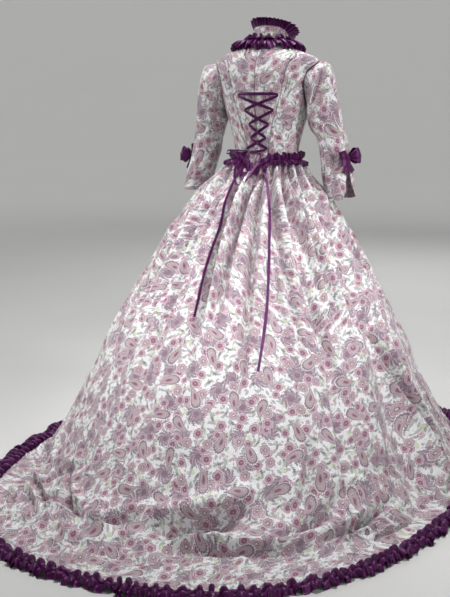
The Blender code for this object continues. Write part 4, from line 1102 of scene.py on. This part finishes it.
def waist_frill(satin):
    """The ruffle round the waist seam, fuller at the back."""
    size = WAIST_RUFFLE
    turn, t = np.meshgrid(np.linspace(-180, 180, WAIST_WAVES * 13 + 1), np.linspace(-1, 1, RUFFLE_ROWS))
    fuller = 1 + 0.30 * np.exp(-((turn - 12) / 16) ** 2)
    offset = np.interp(t, [-1, 0, 1], [row.offset for row in WAIST_FRILL]) * fuller
    station = station_at(edge_height(turn) - offset)
    puff = hermite([row.lift for row in WAIST_FRILL], t + 1) + size.puff * puff_shape(t)
    wave, swayed = puffed(turn, t, size)
    wave = wave + ruffle(turn, 97, 9) * size.fine
    outer = form(turn, station) + form_normal(turn, station) * (puff + wave)[..., None]
    outer = outer + along(turn) * swayed[..., None]
    outer[..., 2] -= size.dip * t * np.abs(t) * ruffle(turn, 27, 10)
    outer[:, -1] = outer[:, 0]
    satin_frill("waist_frill", outer, t * size.half_width, satin, closed=True)


def hem_frill(satin):
    """The ruffle on the floor round the hem, in four pieces that end at the same places as the solids."""
    count = HEM_WAVES * 12 + 1
    turns = 45 + 360 * share_of(count)
    lengths = distances(form(turns, HEM))
    hem = form(np.interp(share_of(count) * lengths[-1], lengths, turns), HEM)
    turn, s = np.meshgrid(360 * share_of(count), share_of(HEM_FRILL_ROWS))
    t = 2 * s - 1
    base = np.repeat(hem[None], HEM_FRILL_ROWS, axis=0)
    out = unit(base * np.array([1, 1, 0]))
    wave = ruffle(turn + 0.5 * t, HEM_WAVES, 11, 0.1)
    side_wave = ruffle(turn + 1.2, HEM_WAVES // 3, 12)
    reach = HEM_START + HEM_WIDTH * s + (0.0085 * side_wave + 0.0050 * ruffle(turn, HEM_WAVES, 15)) * s ** 2
    height = HEM_HEIGHT + HEM_PUFF * puff_shape(t) + 0.0015 * (1 - s)
    height = height + wave * (0.0035 + 0.0085 * np.abs(t) ** PUFF_POWER)
    height = height + ruffle(turn, 2 * HEM_WAVES + 31, 13) * 0.0018
    height = height + 0.0040 * ruffle(turn, 61, 17) * np.sin(np.pi * s)
    swayed = sway(turn + 0.5 * t, HEM_WAVES, 11) * (0.0012 + 0.0026 * np.abs(t)) + 0.003 * side_wave * t
    along_hem = np.stack([out[..., 1], -out[..., 0], 0 * t], -1)
    outer = base + out * reach[..., None] + along_hem * swayed[..., None]
    on_skirt = CLOTH + FLOOR_CLEARANCE + HEM_LIFT
    lowest = np.where(s < HEM_OVERLAP, on_skirt, FLOOR_CLEARANCE) + SATIN + 0.0002
    outer[..., 2] = np.maximum(height, lowest) - ORIGIN_HEIGHT
    outer[:, -1] = outer[:, 0]
    uv = np.stack([middle_lengths(outer), s * HEM_WIDTH], -1)
    normal = grid_normals(outer, True)
    inner = outer - normal * SATIN * np.sign(normal[..., 2:3])
    inner[..., 2] = np.clip(inner[..., 2], lowest - SATIN - ORIGIN_HEIGHT, outer[..., 2] - SATIN * 0.4)
    inner[:, -1] = inner[:, 0]
    for number in range(4):
        part = slice((count - 1) * number // 4, (count - 1) * (number + 1) // 4 + 1)
        name = f"hem_frill_satin_{number + 1}"
        made = cloth(name, outer[:, part], inner[:, part], uv[:, part], satin)
        stands_for(f"hem_frill_{number + 1}")


# Ribbons

def strip(centres, across, widths, t):
    """A grid of points along a ribbon. t runs over its width from -1 to 1."""
    return np.asarray(centres) + np.asarray(across) * (t[:, None, None] * np.asarray(widths)[:, None] / 2)


def satin_strip(node, middle, normals, along_it, across_it, satin):
    """A ribbon round its middle surface."""
    half = normals * RIBBON_HALF
    uv = np.stack(np.broadcast_arrays(along_it, across_it), -1)
    made = cloth(f"{node}_satin", middle + half, middle - half, uv, satin)
    stands_for(node)
    return made


def ribbon(node, centres, widths, normals, satin, cup=0.0):
    """A ribbon along its centre points, cupped a little across. Returns it and its length."""
    t, widths = np.linspace(-1, 1, 7), np.asarray(widths)
    lengths = distances(centres)
    cupped = normals * (cup * (1 - t ** 2)[:, None, None] * widths[:, None])
    middle = strip(centres, across_path(centres, normals), widths, t) + cupped
    return satin_strip(node, middle, normals, lengths, t[:, None] * widths / 2, satin), lengths[-1]


def across_path(centres, normals):
    way = unit(np.gradient(centres, axis=0))
    return unit(np.cross(normals, way))


def tree_of(faces):
    points, polygons = [], []
    for grid in faces:
        polygons.extend((quads(numbered(*grid.shape[:2])) + len(points)).tolist())
        points.extend(grid.reshape(-1, 3).tolist())
    return BVHTree.FromPolygons(points, polygons)


def laid_on(tree, turn, station):
    point, normal = form(turn, station), form_normal(turn, station)
    point, normal = Vector(point.tolist()), Vector(normal.tolist())
    hit = tree.ray_cast(point + normal * 0.08, -normal, 0.16)[0]
    return np.array(hit if hit is not None else point), np.array(normal)


def smoothed(values, passes):
    values = np.array(values, float)
    for _ in range(passes):
        values[1:-1] = (values[:-2] + 2 * values[1:-1] + values[2:]) / 4
    return values


def loop_x(row, side):
    return row.left if side > 0 else -row.right


def bulge(share):
    """0 at both ends and 1 in the middle."""
    return 1 - (2 * share - 1) ** 2


def lacing(tree, satin):
    """The lace: up one way through its rows, across the top bar, down the other way and on to the knot."""
    order = [(row, 1 if row % 2 == 0 else -1) for row in range(len(LACING))]
    path = list(reversed(order)) + [(row, -side) for row, side in order]
    flat, lifts, widths = [], [], []
    for number, ((row_a, side_a), (row_b, side_b)) in enumerate(zip(path, path[1:])):
        a, b = LACING[row_a], LACING[row_b]
        is_bar = row_a == row_b
        is_over = is_bar or (min(row_a, row_b) + (number >= len(order))) % 2 == 0
        for share in share_of(LACE_STEPS)[:-1]:
            flat.append((
                loop_x(a, side_a) * (1 - share) + loop_x(b, side_b) * share,
                a.height + (b.height - a.height) * share + (LACE_BAR_RISE if is_bar else 0),
            ))
            widths.append(LACE_PINCHED + (LACE_WIDTH - LACE_PINCHED) * min(1.0, 1.7 * bulge(share)))
            low = LACE_LOW + (LACE_BAR_LIFT if is_bar else 0)
            lifts.append(low + (LACE_HIGH - LACE_LOW) * bulge(share) ** 2 * is_over)
    row, side = path[-1]
    start = np.array([loop_x(LACING[row], side), LACING[row].height])
    end = np.array([LACE_KNOT[0] - LACE_KNOT_SIZE[0] / 2 - LACE_KNOT_GAP, LACE_KNOT[1]])
    for share in share_of(LACE_LAST_STEPS):
        flat.append(tuple(start + (end - start) * share - np.array([0, LACE_LAST_SAG * bulge(share)])))
        widths.append(LACE_PINCHED + LACE_LAST_WIDENING * bulge(share))
        lifts.append(LACE_LOW + LACE_LAST_LIFT * bulge(share))
    centres, normals = [], []
    for (x, height), lift in zip(flat, lifts):
        station = station_at(height)
        point, normal = laid_on(tree, turn_at(x, station), station)
        centres.append(point + normal * lift)
        normals.append(normal)
    ribbon("lace", smoothed(centres, 2), widths, unit(smoothed(normals, 4)), satin, cup=LACE_CUP)


def knot(node, middle, axes, size, satin):
    """A pulled-tight knot with soft creases round it."""
    rings, columns = 22, 36
    turns = np.linspace(0, 2 * np.pi, columns + 1)[:-1]
    tilt, turn = np.meshgrid(np.linspace(-np.pi / 2, np.pi / 2, rings), turns, indexing="ij")
    radius = np.cos(tilt) ** 0.6
    radius = radius * (1 - 0.07 * (0.5 + 0.5 * np.cos(7 * turn + 2 * tilt)) ** 2)
    local = np.stack([radius * np.cos(turn), np.sin(tilt), radius * np.sin(turn)], -1) * (np.array(size) / 2)
    faces = quads(numbered(rings, columns + 1, closed=True))
    uv = np.stack([turn * size[0] / 2, tilt * size[1] / 2], -1)
    points = np.asarray(middle) + local @ np.array(axes)
    made = place(f"{node}_satin", mesh_of(f"{node}_satin", points, faces, satin, uv, faces))
    weld(made, outside=True)
    stands_for(node)


def hanging(node, rows, satin):
    turn, height, lift, width = hermite(rows, share_of(90) * (len(rows) - 1)).T
    station = station_at(height)
    normals = form_normal(turn, station)
    centres = smoothed(form(turn, station) + normals * lift[:, None], 3)
    made, length = ribbon(node, centres, width, normals, satin)


def lace_bow(tree, satin):
    x, height = LACE_KNOT
    station = station_at(height)
    point, normal = laid_on(tree, turn_at(x, station), station)
    up = unit(np.array([0, 0, 1.0]) - normal * normal[2])
    middle = point + normal * (LACE_KNOT_SIZE[2] / 2 + 0.0004)
    knot("lace_knot", middle, (np.cross(up, normal), up, normal), LACE_KNOT_SIZE, satin)
    hanging("lace_loop_side", LACE_LOOP_SIDE, satin)
    hanging("lace_loop_down", LACE_LOOP_DOWN, satin)


def lace_ends(tree, satin):
    """The two free ends, laid on the highest of the cloth under their width."""
    for node, way in LACE_ENDS.items():
        centres, normals = [], []
        for turn, station in hermite(way, share_of(110) * (len(way) - 1)):
            reach = math.degrees(LACE_WIDTH / 2 / float(half_width_at(station)))
            middle, normal = laid_on(tree, turn, station)
            beside = [laid_on(tree, turn + reach * side, station)[0] for side in (-1, -0.5, 0, 0.5, 1)]
            height = max(float(p @ normal) for p in beside) - float(middle @ normal)
            centres.append(middle + normal * (LACE_END_LIFT + height))
            normals.append(normal)
        centres, normals = smoothed(centres, 6), unit(smoothed(normals, 4))
        widths = LACE_WIDTH * (1 - 0.16 * np.sin(share_of(len(centres)) * 21) ** 2)
        made, length = ribbon(node, centres, widths, normals, satin)


def sleeve_bow(name, side, rows, slit_turn, satin):
    """A bow just above a sleeve's slit: a knot, with a loop and a tail on each side of it."""
    angle = math.radians(slit_turn)
    outward_share, back_share = math.cos(angle), math.sin(angle)
    top, base, bottom = (
        np.array([
            side * (row.side + row.outward * outward_share),
            row.centre_y + row.foreaft * back_share,
            row.height - ORIGIN_HEIGHT,
        ])
        for row in rows[SLEEVE_SLIT_ROW - 2:SLEEVE_SLIT_ROW + 1]
    )
    row = rows[SLEEVE_SLIT_ROW - 1]
    up = unit(top - bottom)
    away = unit(np.array([side * outward_share * row.foreaft, back_share * row.outward, 0]))
    out = unit(away - up * (away @ up))
    across = unit(np.cross(out, up))
    base = base + out * BOW_CLEARANCE
    knot(f"{name}_knot", base + out * (BOW_KNOT[2] / 2), (across, up, out), BOW_KNOT, satin)
    for end, way in (("back", 1), ("front", -1)):
        sideways = across * (way if across[1] > 0 else -way)
        bow_loop(f"{name}_loop_{end}", base, sideways, up, out, way, satin)
        bow_tail(f"{name}_tail_{end}", base, sideways, up, out, satin)


def bow_loop(node, base, sideways, up, out, way, satin):
    at, t = share_of(48), np.linspace(-1, 1, 25)
    off, away_by, width = hermite(BOW_LOOP, at * (len(BOW_LOOP) - 1)).T
    width = width * (1.08 - 0.26 * np.exp(-((at - 0.5) / 0.13) ** 2))
    centres = base + sideways * off[:, None] + out * away_by[:, None]
    normals = unit(np.cross(up, np.gradient(centres, axis=0)))
    centres = centres + normals * (0.0010 * np.sin(at * 9 + way) * np.sin(np.pi * at))[:, None]
    pinch = np.exp(-(at / 0.16) ** 2) + np.exp(-((1 - at) / 0.16) ** 2)
    pleat = 0.0022 * np.cos(t[:, None] * 8 + 0.5) * (0.25 + pinch)
    dome = 0.0060 * (1 - t[:, None] ** 2) * np.sin(np.pi * at)
    middle = strip(centres, up, width, t) + normals * (pleat + dome)[..., None]
    satin_strip(node, middle, normals, distances(centres), t[:, None] * 0.028, satin)


def bow_tail(node, base, sideways, up, out, satin):
    at, t = share_of(26), np.linspace(-1, 1, 13)
    off, down, width = hermite(BOW_TAIL, at * (len(BOW_TAIL) - 1)).T
    centres = base + sideways * off[:, None] - up * down[:, None] + out * 0.004
    centres = centres + out * (0.0012 * np.sin(at * 5))[:, None]
    normals = np.repeat(out[None], len(at), axis=0)
    middle = strip(centres, across_path(centres, normals), width, t)
    middle = middle + normals * (0.0010 * np.cos(t[:, None] * 5) * at)[..., None]
    satin_strip(node, middle, normals, at * 0.045, t[:, None] * 0.011, satin)


# Materials

class Shader:
    """Builds a material's nodes, one call for each."""

    def __init__(self, name):
        self.material = bpy.data.materials.new(name)
        self.material.use_nodes = True
        self.tree = self.material.node_tree
        self.bsdf = self.tree.nodes["Principled BSDF"]

    def node(self, kind, **settings):
        made = self.tree.nodes.new(kind)
        for key, value in settings.items():
            setattr(made, key, value)
        return made

    def join(self, source, target):
        if isinstance(source, bpy.types.NodeSocket):
            self.tree.links.new(source, target)
        else:
            target.default_value = source

    def math(self, operation, a, b=0.0, c=0.0, clamp=False):
        made = self.node("ShaderNodeMath", operation=operation, use_clamp=clamp)
        for value, socket in zip((a, b, c), made.inputs):
            self.join(value, socket)
        return made.outputs[0]

    def vector(self, operation, a, b=(0, 0, 0), scale=None):
        made = self.node("ShaderNodeVectorMath", operation=operation)
        self.join(a, made.inputs[0])
        self.join(b, made.inputs[1])
        if scale is not None:
            self.join(scale, made.inputs["Scale"])
        return made.outputs["Value"] if operation == "LENGTH" else made.outputs[0]

    def times(self, first, *rest):
        for value in rest:
            first = self.math("MULTIPLY", first, value)
        return first

    def ripple(self, kind, value, count):
        """The size of a value's sine or cosine, which peaks this many times in half a turn."""
        return self.math("ABSOLUTE", self.math(kind, self.times(value, count)))

    def split(self, vector):
        made = self.node("ShaderNodeSeparateXYZ")
        self.join(vector, made.inputs[0])
        return made.outputs[:3]

    def combine(self, x, y, z=0.0):
        made = self.node("ShaderNodeCombineXYZ")
        for value, socket in zip((x, y, z), made.inputs):
            self.join(value, socket)
        return made.outputs[0]

    def turned(self, vector, angle):
        made = self.node("ShaderNodeVectorRotate", rotation_type="Z_AXIS")
        self.join(vector, made.inputs["Vector"])
        self.join(angle, made.inputs["Angle"])
        return made.outputs[0]

    def random(self, vector):
        made = self.node("ShaderNodeTexWhiteNoise", noise_dimensions="3D")
        self.join(vector, made.inputs["Vector"])
        return made.outputs["Value"], made.outputs["Color"]

    def settle(self, node, values):
        """Gives a node's inputs, by name, their values or sockets."""
        for name, value in values.items():
            self.join(value, node.inputs[name])
        return node

    def noise(self, vector, scale, detail=2.0, roughness=0.5, distortion=0.0):
        return self.settle(self.node("ShaderNodeTexNoise", noise_dimensions="3D"), {
            "Vector": vector, "Scale": scale, "Detail": detail, "Roughness": roughness,
            "Distortion": distortion,
        }).outputs["Fac"]

    def bump(self, strength, *heights):
        """Bumps from (height, size) pairs, sizes in metres."""
        first, second = (self.times(value, size) for value, size in heights)
        made = self.settle(self.node("ShaderNodeBump"), {
            "Strength": strength, "Distance": 1.0, "Height": self.math("ADD", first, second),
        })
        self.join(made.outputs[0], self.bsdf.inputs["Normal"])

    def ramp(self, value, stops):
        made = self.node("ShaderNodeValToRGB")
        ramp = made.color_ramp
        while len(ramp.elements) < len(stops):
            ramp.elements.new(0.5)
        for element, (position, colour) in zip(ramp.elements, stops):
            element.position = position
            element.color = colour if len(colour) == 4 else (*colour, 1)
        self.join(value, made.inputs[0])
        return made.outputs["Color"], made.outputs["Alpha"]

    def mix(self, factor, a, b, blend="MIX"):
        made = self.node("ShaderNodeMix", data_type="RGBA", blend_type=blend)
        self.join(factor, made.inputs["Factor"])
        sockets = [socket for socket in made.inputs if socket.type == "RGBA"]
        for value, socket in zip((a, b), sockets):
            self.join(value if isinstance(value, bpy.types.NodeSocket) else (*value, 1), socket)
        return next(socket for socket in made.outputs if socket.type == "RGBA")


GROUND = (0.74, 0.73, 0.745)
PINK_DARK = (0.190, 0.068, 0.120)
PINK = (0.375, 0.195, 0.260)
PINK_PALE = (0.570, 0.415, 0.470)
MAUVE_DARK = (0.115, 0.062, 0.095)
MAUVE = (0.250, 0.155, 0.215)
MAUVE_PALE = (0.480, 0.380, 0.450)
OLIVE = (0.110, 0.085, 0.082)
BEIGE = (0.450, 0.355, 0.340)
LEAF_YELLOW = (0.56, 0.62, 0.40)
LEAF_GREY = (0.360, 0.390, 0.375)
CLEAR = (*GROUND, 0)

# Threads of the cotton, as factors of its colour, and colours of the satin.
SPECKS = [
    (0.34, (0.62, 0.60, 0.62)), (0.47, (1.0, 1.0, 1.0)), (0.56, (1.0, 1.0, 1.0)), (0.70, (1.25, 1.25, 1.25)),
]
PURPLES = [(0.25, (0.020, 0.001, 0.022)), (0.58, (0.048, 0.003, 0.046)), (0.85, (0.105, 0.010, 0.095))]

# Layers of the print, lowest first. size is the spacing of a motif's cells in metres, radius its own.
Layer = namedtuple("Layer", "motif size radius jitter turn seed")
PRINT_SCALE = 1.14
PRINT_LAYERS = [
    Layer("leaf_grey", 0.0240, 0.0068, 0.50, 0.30, 1.0),
    Layer("leaf_yellow", 0.0520, 0.0140, 0.56, 0.90, 2.0),
    Layer("leaf_grey", 0.0290, 0.0108, 0.46, 1.70, 3.0),
    Layer("sprig", 0.0460, 0.0200, 0.34, 2.30, 4.0),
    Layer("bud", 0.0460, 0.0072, 0.70, 0.55, 5.0),
    Layer("dahlia", 0.1160, 0.0350, 0.50, 1.10, 6.0),
    Layer("rose", 0.0740, 0.0150, 0.64, 2.05, 10.0),
    Layer("dahlia", 0.1600, 0.0290, 0.62, 2.60, 7.0),
    Layer("rose", 0.0860, 0.0180, 0.62, 0.70, 12.0),
    Layer("ring_flower", 0.1000, 0.0176, 0.64, 0.20, 8.0),
    Layer("paisley", 0.1240, 0.0400, 0.34, 1.45, 9.0),
]

# A motif's bands of colour, from its middle at 0 to its rim at 1. BAND_SPAN is how far they may reach,
# and RIMMED ends a motif with a thin pale rim.
BAND_SPAN = 1.16
RIMMED = [(1.01, GROUND), (1.09, GROUND), (1.11, CLEAR)]
BANDS = {
    "rose": [
        (0.00, PINK), (0.10, BEIGE), (0.16, PINK_DARK), (0.44, PINK_DARK), (0.52, PINK), (0.76, PINK_PALE),
        (0.90, PINK), (0.95, PINK_DARK), (1.00, PINK_DARK), *RIMMED,
    ],
    "ring_flower": [
        (0.00, BEIGE), (0.16, GROUND), (0.24, OLIVE), (0.36, OLIVE), (0.40, BEIGE), (0.50, BEIGE),
        (0.56, PINK), (0.80, PINK_PALE), (0.92, PINK_DARK), (1.00, PINK_DARK), *RIMMED,
    ],
    "bud": [
        (0.00, PINK), (0.30, PINK), (0.50, PINK_PALE), (0.85, PINK_PALE), (0.92, PINK), (1.00, PINK),
        (1.02, CLEAR),
    ],
    "dahlia": [
        (0.00, PINK_DARK), (0.10, PINK), (0.16, MAUVE_DARK), (0.30, MAUVE), (0.42, MAUVE_DARK),
        (0.46, MAUVE_PALE), (0.58, MAUVE), (0.68, MAUVE_DARK), (0.72, MAUVE_PALE), (0.84, MAUVE),
        (0.94, MAUVE_DARK), (1.00, MAUVE_DARK), (1.02, CLEAR),
    ],
    "paisley": [
        (0.00, PINK_DARK), (0.24, PINK_DARK), (0.30, PINK), (0.40, PINK_PALE), (0.44, OLIVE), (0.50, BEIGE),
        (0.64, MAUVE_PALE), (0.67, OLIVE), (0.72, BEIGE), (0.80, MAUVE_PALE), (0.84, OLIVE), (0.89, MAUVE),
        (1.00, OLIVE), (1.01, GROUND), (1.07, GROUND), (1.09, CLEAR),
    ],
    "sprig": [(0.00, OLIVE), (0.60, LEAF_GREY), (1.00, LEAF_GREY), (1.02, CLEAR)],
    "leaf_grey": [
        (0.00, BEIGE), (0.30, LEAF_GREY), (0.80, LEAF_GREY), (0.90, OLIVE), (1.00, LEAF_GREY), (1.02, CLEAR),
    ],
    "leaf_yellow": [
        (0.00, LEAF_YELLOW), (0.80, LEAF_YELLOW), (0.90, LEAF_GREY), (1.00, LEAF_GREY), (1.02, CLEAR),
    ],
}


def motif(s, uv, ragged, layer):
    """A layer's colour and cover: a motif in each cell of a turned grid, moved and turned by chance."""
    grid = s.vector("SCALE", s.turned(uv, layer.turn), scale=1 / layer.size)
    cell = s.vector("FLOOR", grid)
    local = s.vector("SUBTRACT", s.vector("SUBTRACT", grid, cell), (0.5, 0.5, 0.0))
    chance, colour = s.random(s.vector("ADD", cell, (layer.seed * 7.3, layer.seed * 3.1, layer.seed)))
    move = s.vector("SCALE", s.vector("SUBTRACT", colour, (0.5, 0.5, 0.5)), scale=layer.jitter)
    local = s.turned(s.vector("SUBTRACT", local, move), s.times(chance, 6.283))
    x, y, _ = s.split(s.vector("SCALE", local, scale=layer.size / layer.radius))
    radius = s.vector("LENGTH", s.combine(x, y))
    angle = s.math("ARCTAN2", y, x)
    rough = 0.55 if layer.radius > 0.012 else 0.25
    if layer.motif in ("rose", "ring_flower", "bud"):
        petal = s.ripple("SINE", angle, 3.0 if layer.motif == "rose" else 3.5)
        q = s.math("DIVIDE", radius, s.math("MULTIPLY_ADD", s.math("SQRT", petal), 0.20, 0.80))
    elif layer.motif == "dahlia":
        lobe = s.ripple("COSINE", s.math("MULTIPLY_ADD", radius, 1.6, angle), 4.5)
        tooth = s.ripple("COSINE", angle, 13.0)
        rim = s.math("ADD", s.math("MULTIPLY_ADD", lobe, 0.26, 0.60), s.times(tooth, 0.16))
        q = s.math("DIVIDE", radius, rim)
        rough = 1.15
    elif layer.motif == "paisley":
        tip = s.math("MAXIMUM", y, 0.0)
        bent = s.math("SUBTRACT", x, s.times(tip, tip, 0.34))
        waist = s.math("MAXIMUM", s.math("MULTIPLY_ADD", y, -0.26, 0.36), 0.06)
        q = s.vector("LENGTH", s.combine(s.math("DIVIDE", bent, waist), y))
        q = s.math("MULTIPLY_ADD", s.ripple("COSINE", angle, 15.0), -0.09, s.math("ADD", q, 0.04))
        rough = 0.20
    elif layer.motif == "sprig":
        bent = s.math("SUBTRACT", x, s.times(y, y, 0.35))
        stem = s.times(s.math("ABSOLUTE", bent), 11.0)
        q = s.math("ADD", stem, s.times(s.ripple("SINE", y, 9.0), -2.2))
        q = s.math("MAXIMUM", q, s.math("ABSOLUTE", y))
        rough = 0.4
    else:
        width = s.math("MULTIPLY_ADD", s.times(y, y), -0.35, 0.42)
        q = s.vector("LENGTH", s.combine(s.math("DIVIDE", x, width), y))
    q = s.math("MULTIPLY_ADD", ragged, rough, q)
    bands = [(position / BAND_SPAN, colour) for position, colour in BANDS[layer.motif]]
    paint, cover = s.ramp(s.times(q, 1 / BAND_SPAN), bands)
    if layer.motif in ("rose", "ring_flower"):
        parting = s.times(s.math("LESS_THAN", petal, 0.22), s.math("GREATER_THAN", q, 0.5))
        parting = s.times(parting, s.math("LESS_THAN", q, 1.0), 0.6)
        paint = s.mix(parting, paint, PINK_DARK)
    if layer.motif == "dahlia":
        gap = s.times(s.math("LESS_THAN", lobe, 0.30), s.math("GREATER_THAN", q, 0.45))
        cover = s.times(cover, s.math("MULTIPLY_ADD", gap, -0.65, 1.0))
    return paint, cover


def print_cotton():
    s = Shader("print_cotton_woven")
    cloth_uv = s.node("ShaderNodeUVMap", uv_map="cloth").outputs[0]
    warp = s.noise(cloth_uv, 14.0)
    uv = s.vector("ADD", cloth_uv, s.vector("SCALE", s.combine(warp, warp), scale=0.012))
    uv = s.vector("SCALE", uv, scale=PRINT_SCALE)
    ragged = s.math("SUBTRACT", s.noise(uv, 330.0, 2.0, 0.7), 0.5)
    vine = s.math("SUBTRACT", s.math("FRACT", s.times(s.noise(uv, 26.0, 1.0), 9.0)), 0.5)
    vine = s.math("LESS_THAN", s.math("ABSOLUTE", vine), 0.045)
    colour = s.mix(s.times(vine, 0.75), GROUND, LEAF_GREY)
    for layer in PRINT_LAYERS:
        paint, cover = motif(s, uv, ragged, layer)
        colour = s.mix(cover, colour, paint)
    speck, _ = s.ramp(s.noise(uv, 420.0, 2.0, 0.7), SPECKS)
    colour = s.mix(0.85, colour, speck, "MULTIPLY")
    colour = s.mix(s.times(s.noise(uv, 9.0, 3.0, 0.6), 0.08), colour, GROUND)
    s.settle(s.bsdf, {
        "Base Color": colour, "Roughness": 0.55, "Specular IOR Level": 0.40, "Sheen Weight": 0.15,
        "Sheen Roughness": 0.5,
    })
    x, y, _ = s.split(cloth_uv)
    weave = s.times(s.math("SINE", s.times(x, 7500.0)), s.math("SINE", s.times(y, 7500.0)))
    s.bump(0.75, (weave, 0.00004), (s.noise(cloth_uv, 38.0, 4.0, 0.55, 0.6), 0.0024))
    return s.material


def purple_satin():
    s = Shader("purple_satin_woven")
    cloth_uv = s.node("ShaderNodeUVMap", uv_map="cloth").outputs[0]
    colour, _ = s.ramp(s.noise(cloth_uv, 45.0, 3.0, 0.6), PURPLES)
    s.settle(s.bsdf, {
        "Base Color": colour, "Roughness": 0.36, "Specular IOR Level": 0.55,
        "Specular Tint": (0.85, 0.36, 0.80, 1), "Sheen Weight": 0.05, "Sheen Roughness": 0.35,
        "Sheen Tint": (0.60, 0.16, 0.55, 1),
    })
    thread = s.math("SINE", s.times(s.split(cloth_uv)[0], 9000.0))
    s.bump(0.7, (thread, 0.00003), (s.noise(cloth_uv, 90.0, 3.0, 0.6, 0.4), 0.0016))
    return s.material


# Stage

def aimed(name, data, place_at, way):
    made = linked(name, data)
    made.location = place_at
    made.rotation_euler = way.to_track_quat("-Z", "Y").to_euler()
    return made


def backdrop():
    """A round floor that curves up into a wall. It glows a little far from the dress."""
    s = Shader("studio_floor")
    where = s.node("ShaderNodeTexCoord").outputs["Object"]
    x, y, _ = s.split(where)
    away = s.math("SUBTRACT", s.vector("LENGTH", s.combine(x, y)), GLOW_START)
    s.settle(s.bsdf, {
        "Base Color": s.mix(s.noise(where, 1.5), (0.58, 0.58, 0.57), (0.62, 0.62, 0.61)), "Roughness": 0.9,
        "Emission Color": (0.80, 0.80, 0.79, 1),
        "Emission Strength": s.times(s.math("DIVIDE", away, GLOW_REACH, clamp=True), GLOW),
    })
    profile = [(0.01, 0.0), (FLOOR_RADIUS / 2, 0.0), (FLOOR_RADIUS, 0.0)]
    profile += [
        (FLOOR_RADIUS + COVE_RADIUS * math.sin(a), COVE_RADIUS - COVE_RADIUS * math.cos(a))
        for a in np.linspace(0, np.pi / 2, 12)[1:]
    ]
    radius, height = np.array(profile + [(FLOOR_RADIUS + COVE_RADIUS, WALL_TOP)]).T[..., None]
    turn = 2 * np.pi * np.arange(BACKDROP_COLUMNS) / BACKDROP_COLUMNS
    corners = radius * np.cos(turn), radius * np.sin(turn), height - ORIGIN_HEIGHT
    points = np.stack(np.broadcast_arrays(*corners), -1)
    faces = quads(numbered(len(radius), BACKDROP_COLUMNS + 1, closed=True))
    mesh = mesh_of("studio_floor", points, faces, s.material)
    mesh.shade_smooth()
    linked("studio_floor", mesh)


def studio():
    bpy.context.scene.view_settings.view_transform = "Standard"
    world = bpy.data.worlds.new("studio")
    bpy.context.scene.world = world
    world.use_nodes = True
    background = world.node_tree.nodes["Background"]
    background.inputs["Color"].default_value = (0.80, 0.81, 0.82, 1)
    background.inputs["Strength"].default_value = 0.09
    for name, place_at, aim, size, power, spread in LAMPS:
        light = bpy.data.lights.new(name, "AREA")
        light.energy, light.size, light.spread = power, size, math.radians(spread)
        aimed(name, light, place_at, Vector(aim) - Vector(place_at))


def photo_camera():
    turn, pitch, yaw = (math.radians(v) for v in (CAMERA_TURN, CAMERA_PITCH, CAMERA_YAW))
    camera = bpy.data.cameras.new("photo_camera")
    camera.lens, camera.sensor_width = CAMERA_LENS, CAMERA_SENSOR
    ahead = Vector((math.sin(turn), -math.cos(turn), 0))
    left = Vector((0, 0, 1)).cross(ahead)
    level = ahead * math.cos(yaw) + left * math.sin(yaw)
    place_at = Vector((
        -math.sin(turn) * CAMERA_DISTANCE, math.cos(turn) * CAMERA_DISTANCE, CAMERA_HEIGHT - ORIGIN_HEIGHT,
    ))
    look = level * math.cos(pitch) - Vector((0, 0, math.sin(pitch)))
    bpy.context.scene.camera = aimed("photo_camera", camera, place_at, look)


cotton, satin = print_cotton(), purple_satin()
backdrop()
studio()
photo_camera()
bodice_tree = tree_of(bodice(cotton))
skirt_tree = tree_of(skirt(cotton))
sleeves(cotton)
collar(cotton)
collar_frill(satin)
neck_frill(satin)
waist_frill(satin)
hem_frill(satin)
lacing(bodice_tree, satin)
lace_bow(bodice_tree, satin)
lace_ends(skirt_tree, satin)
for name, side, rows, slit_turn, _ in SLEEVES:
    sleeve_bow(f"bow_{name}", side, rows, slit_turn, satin)
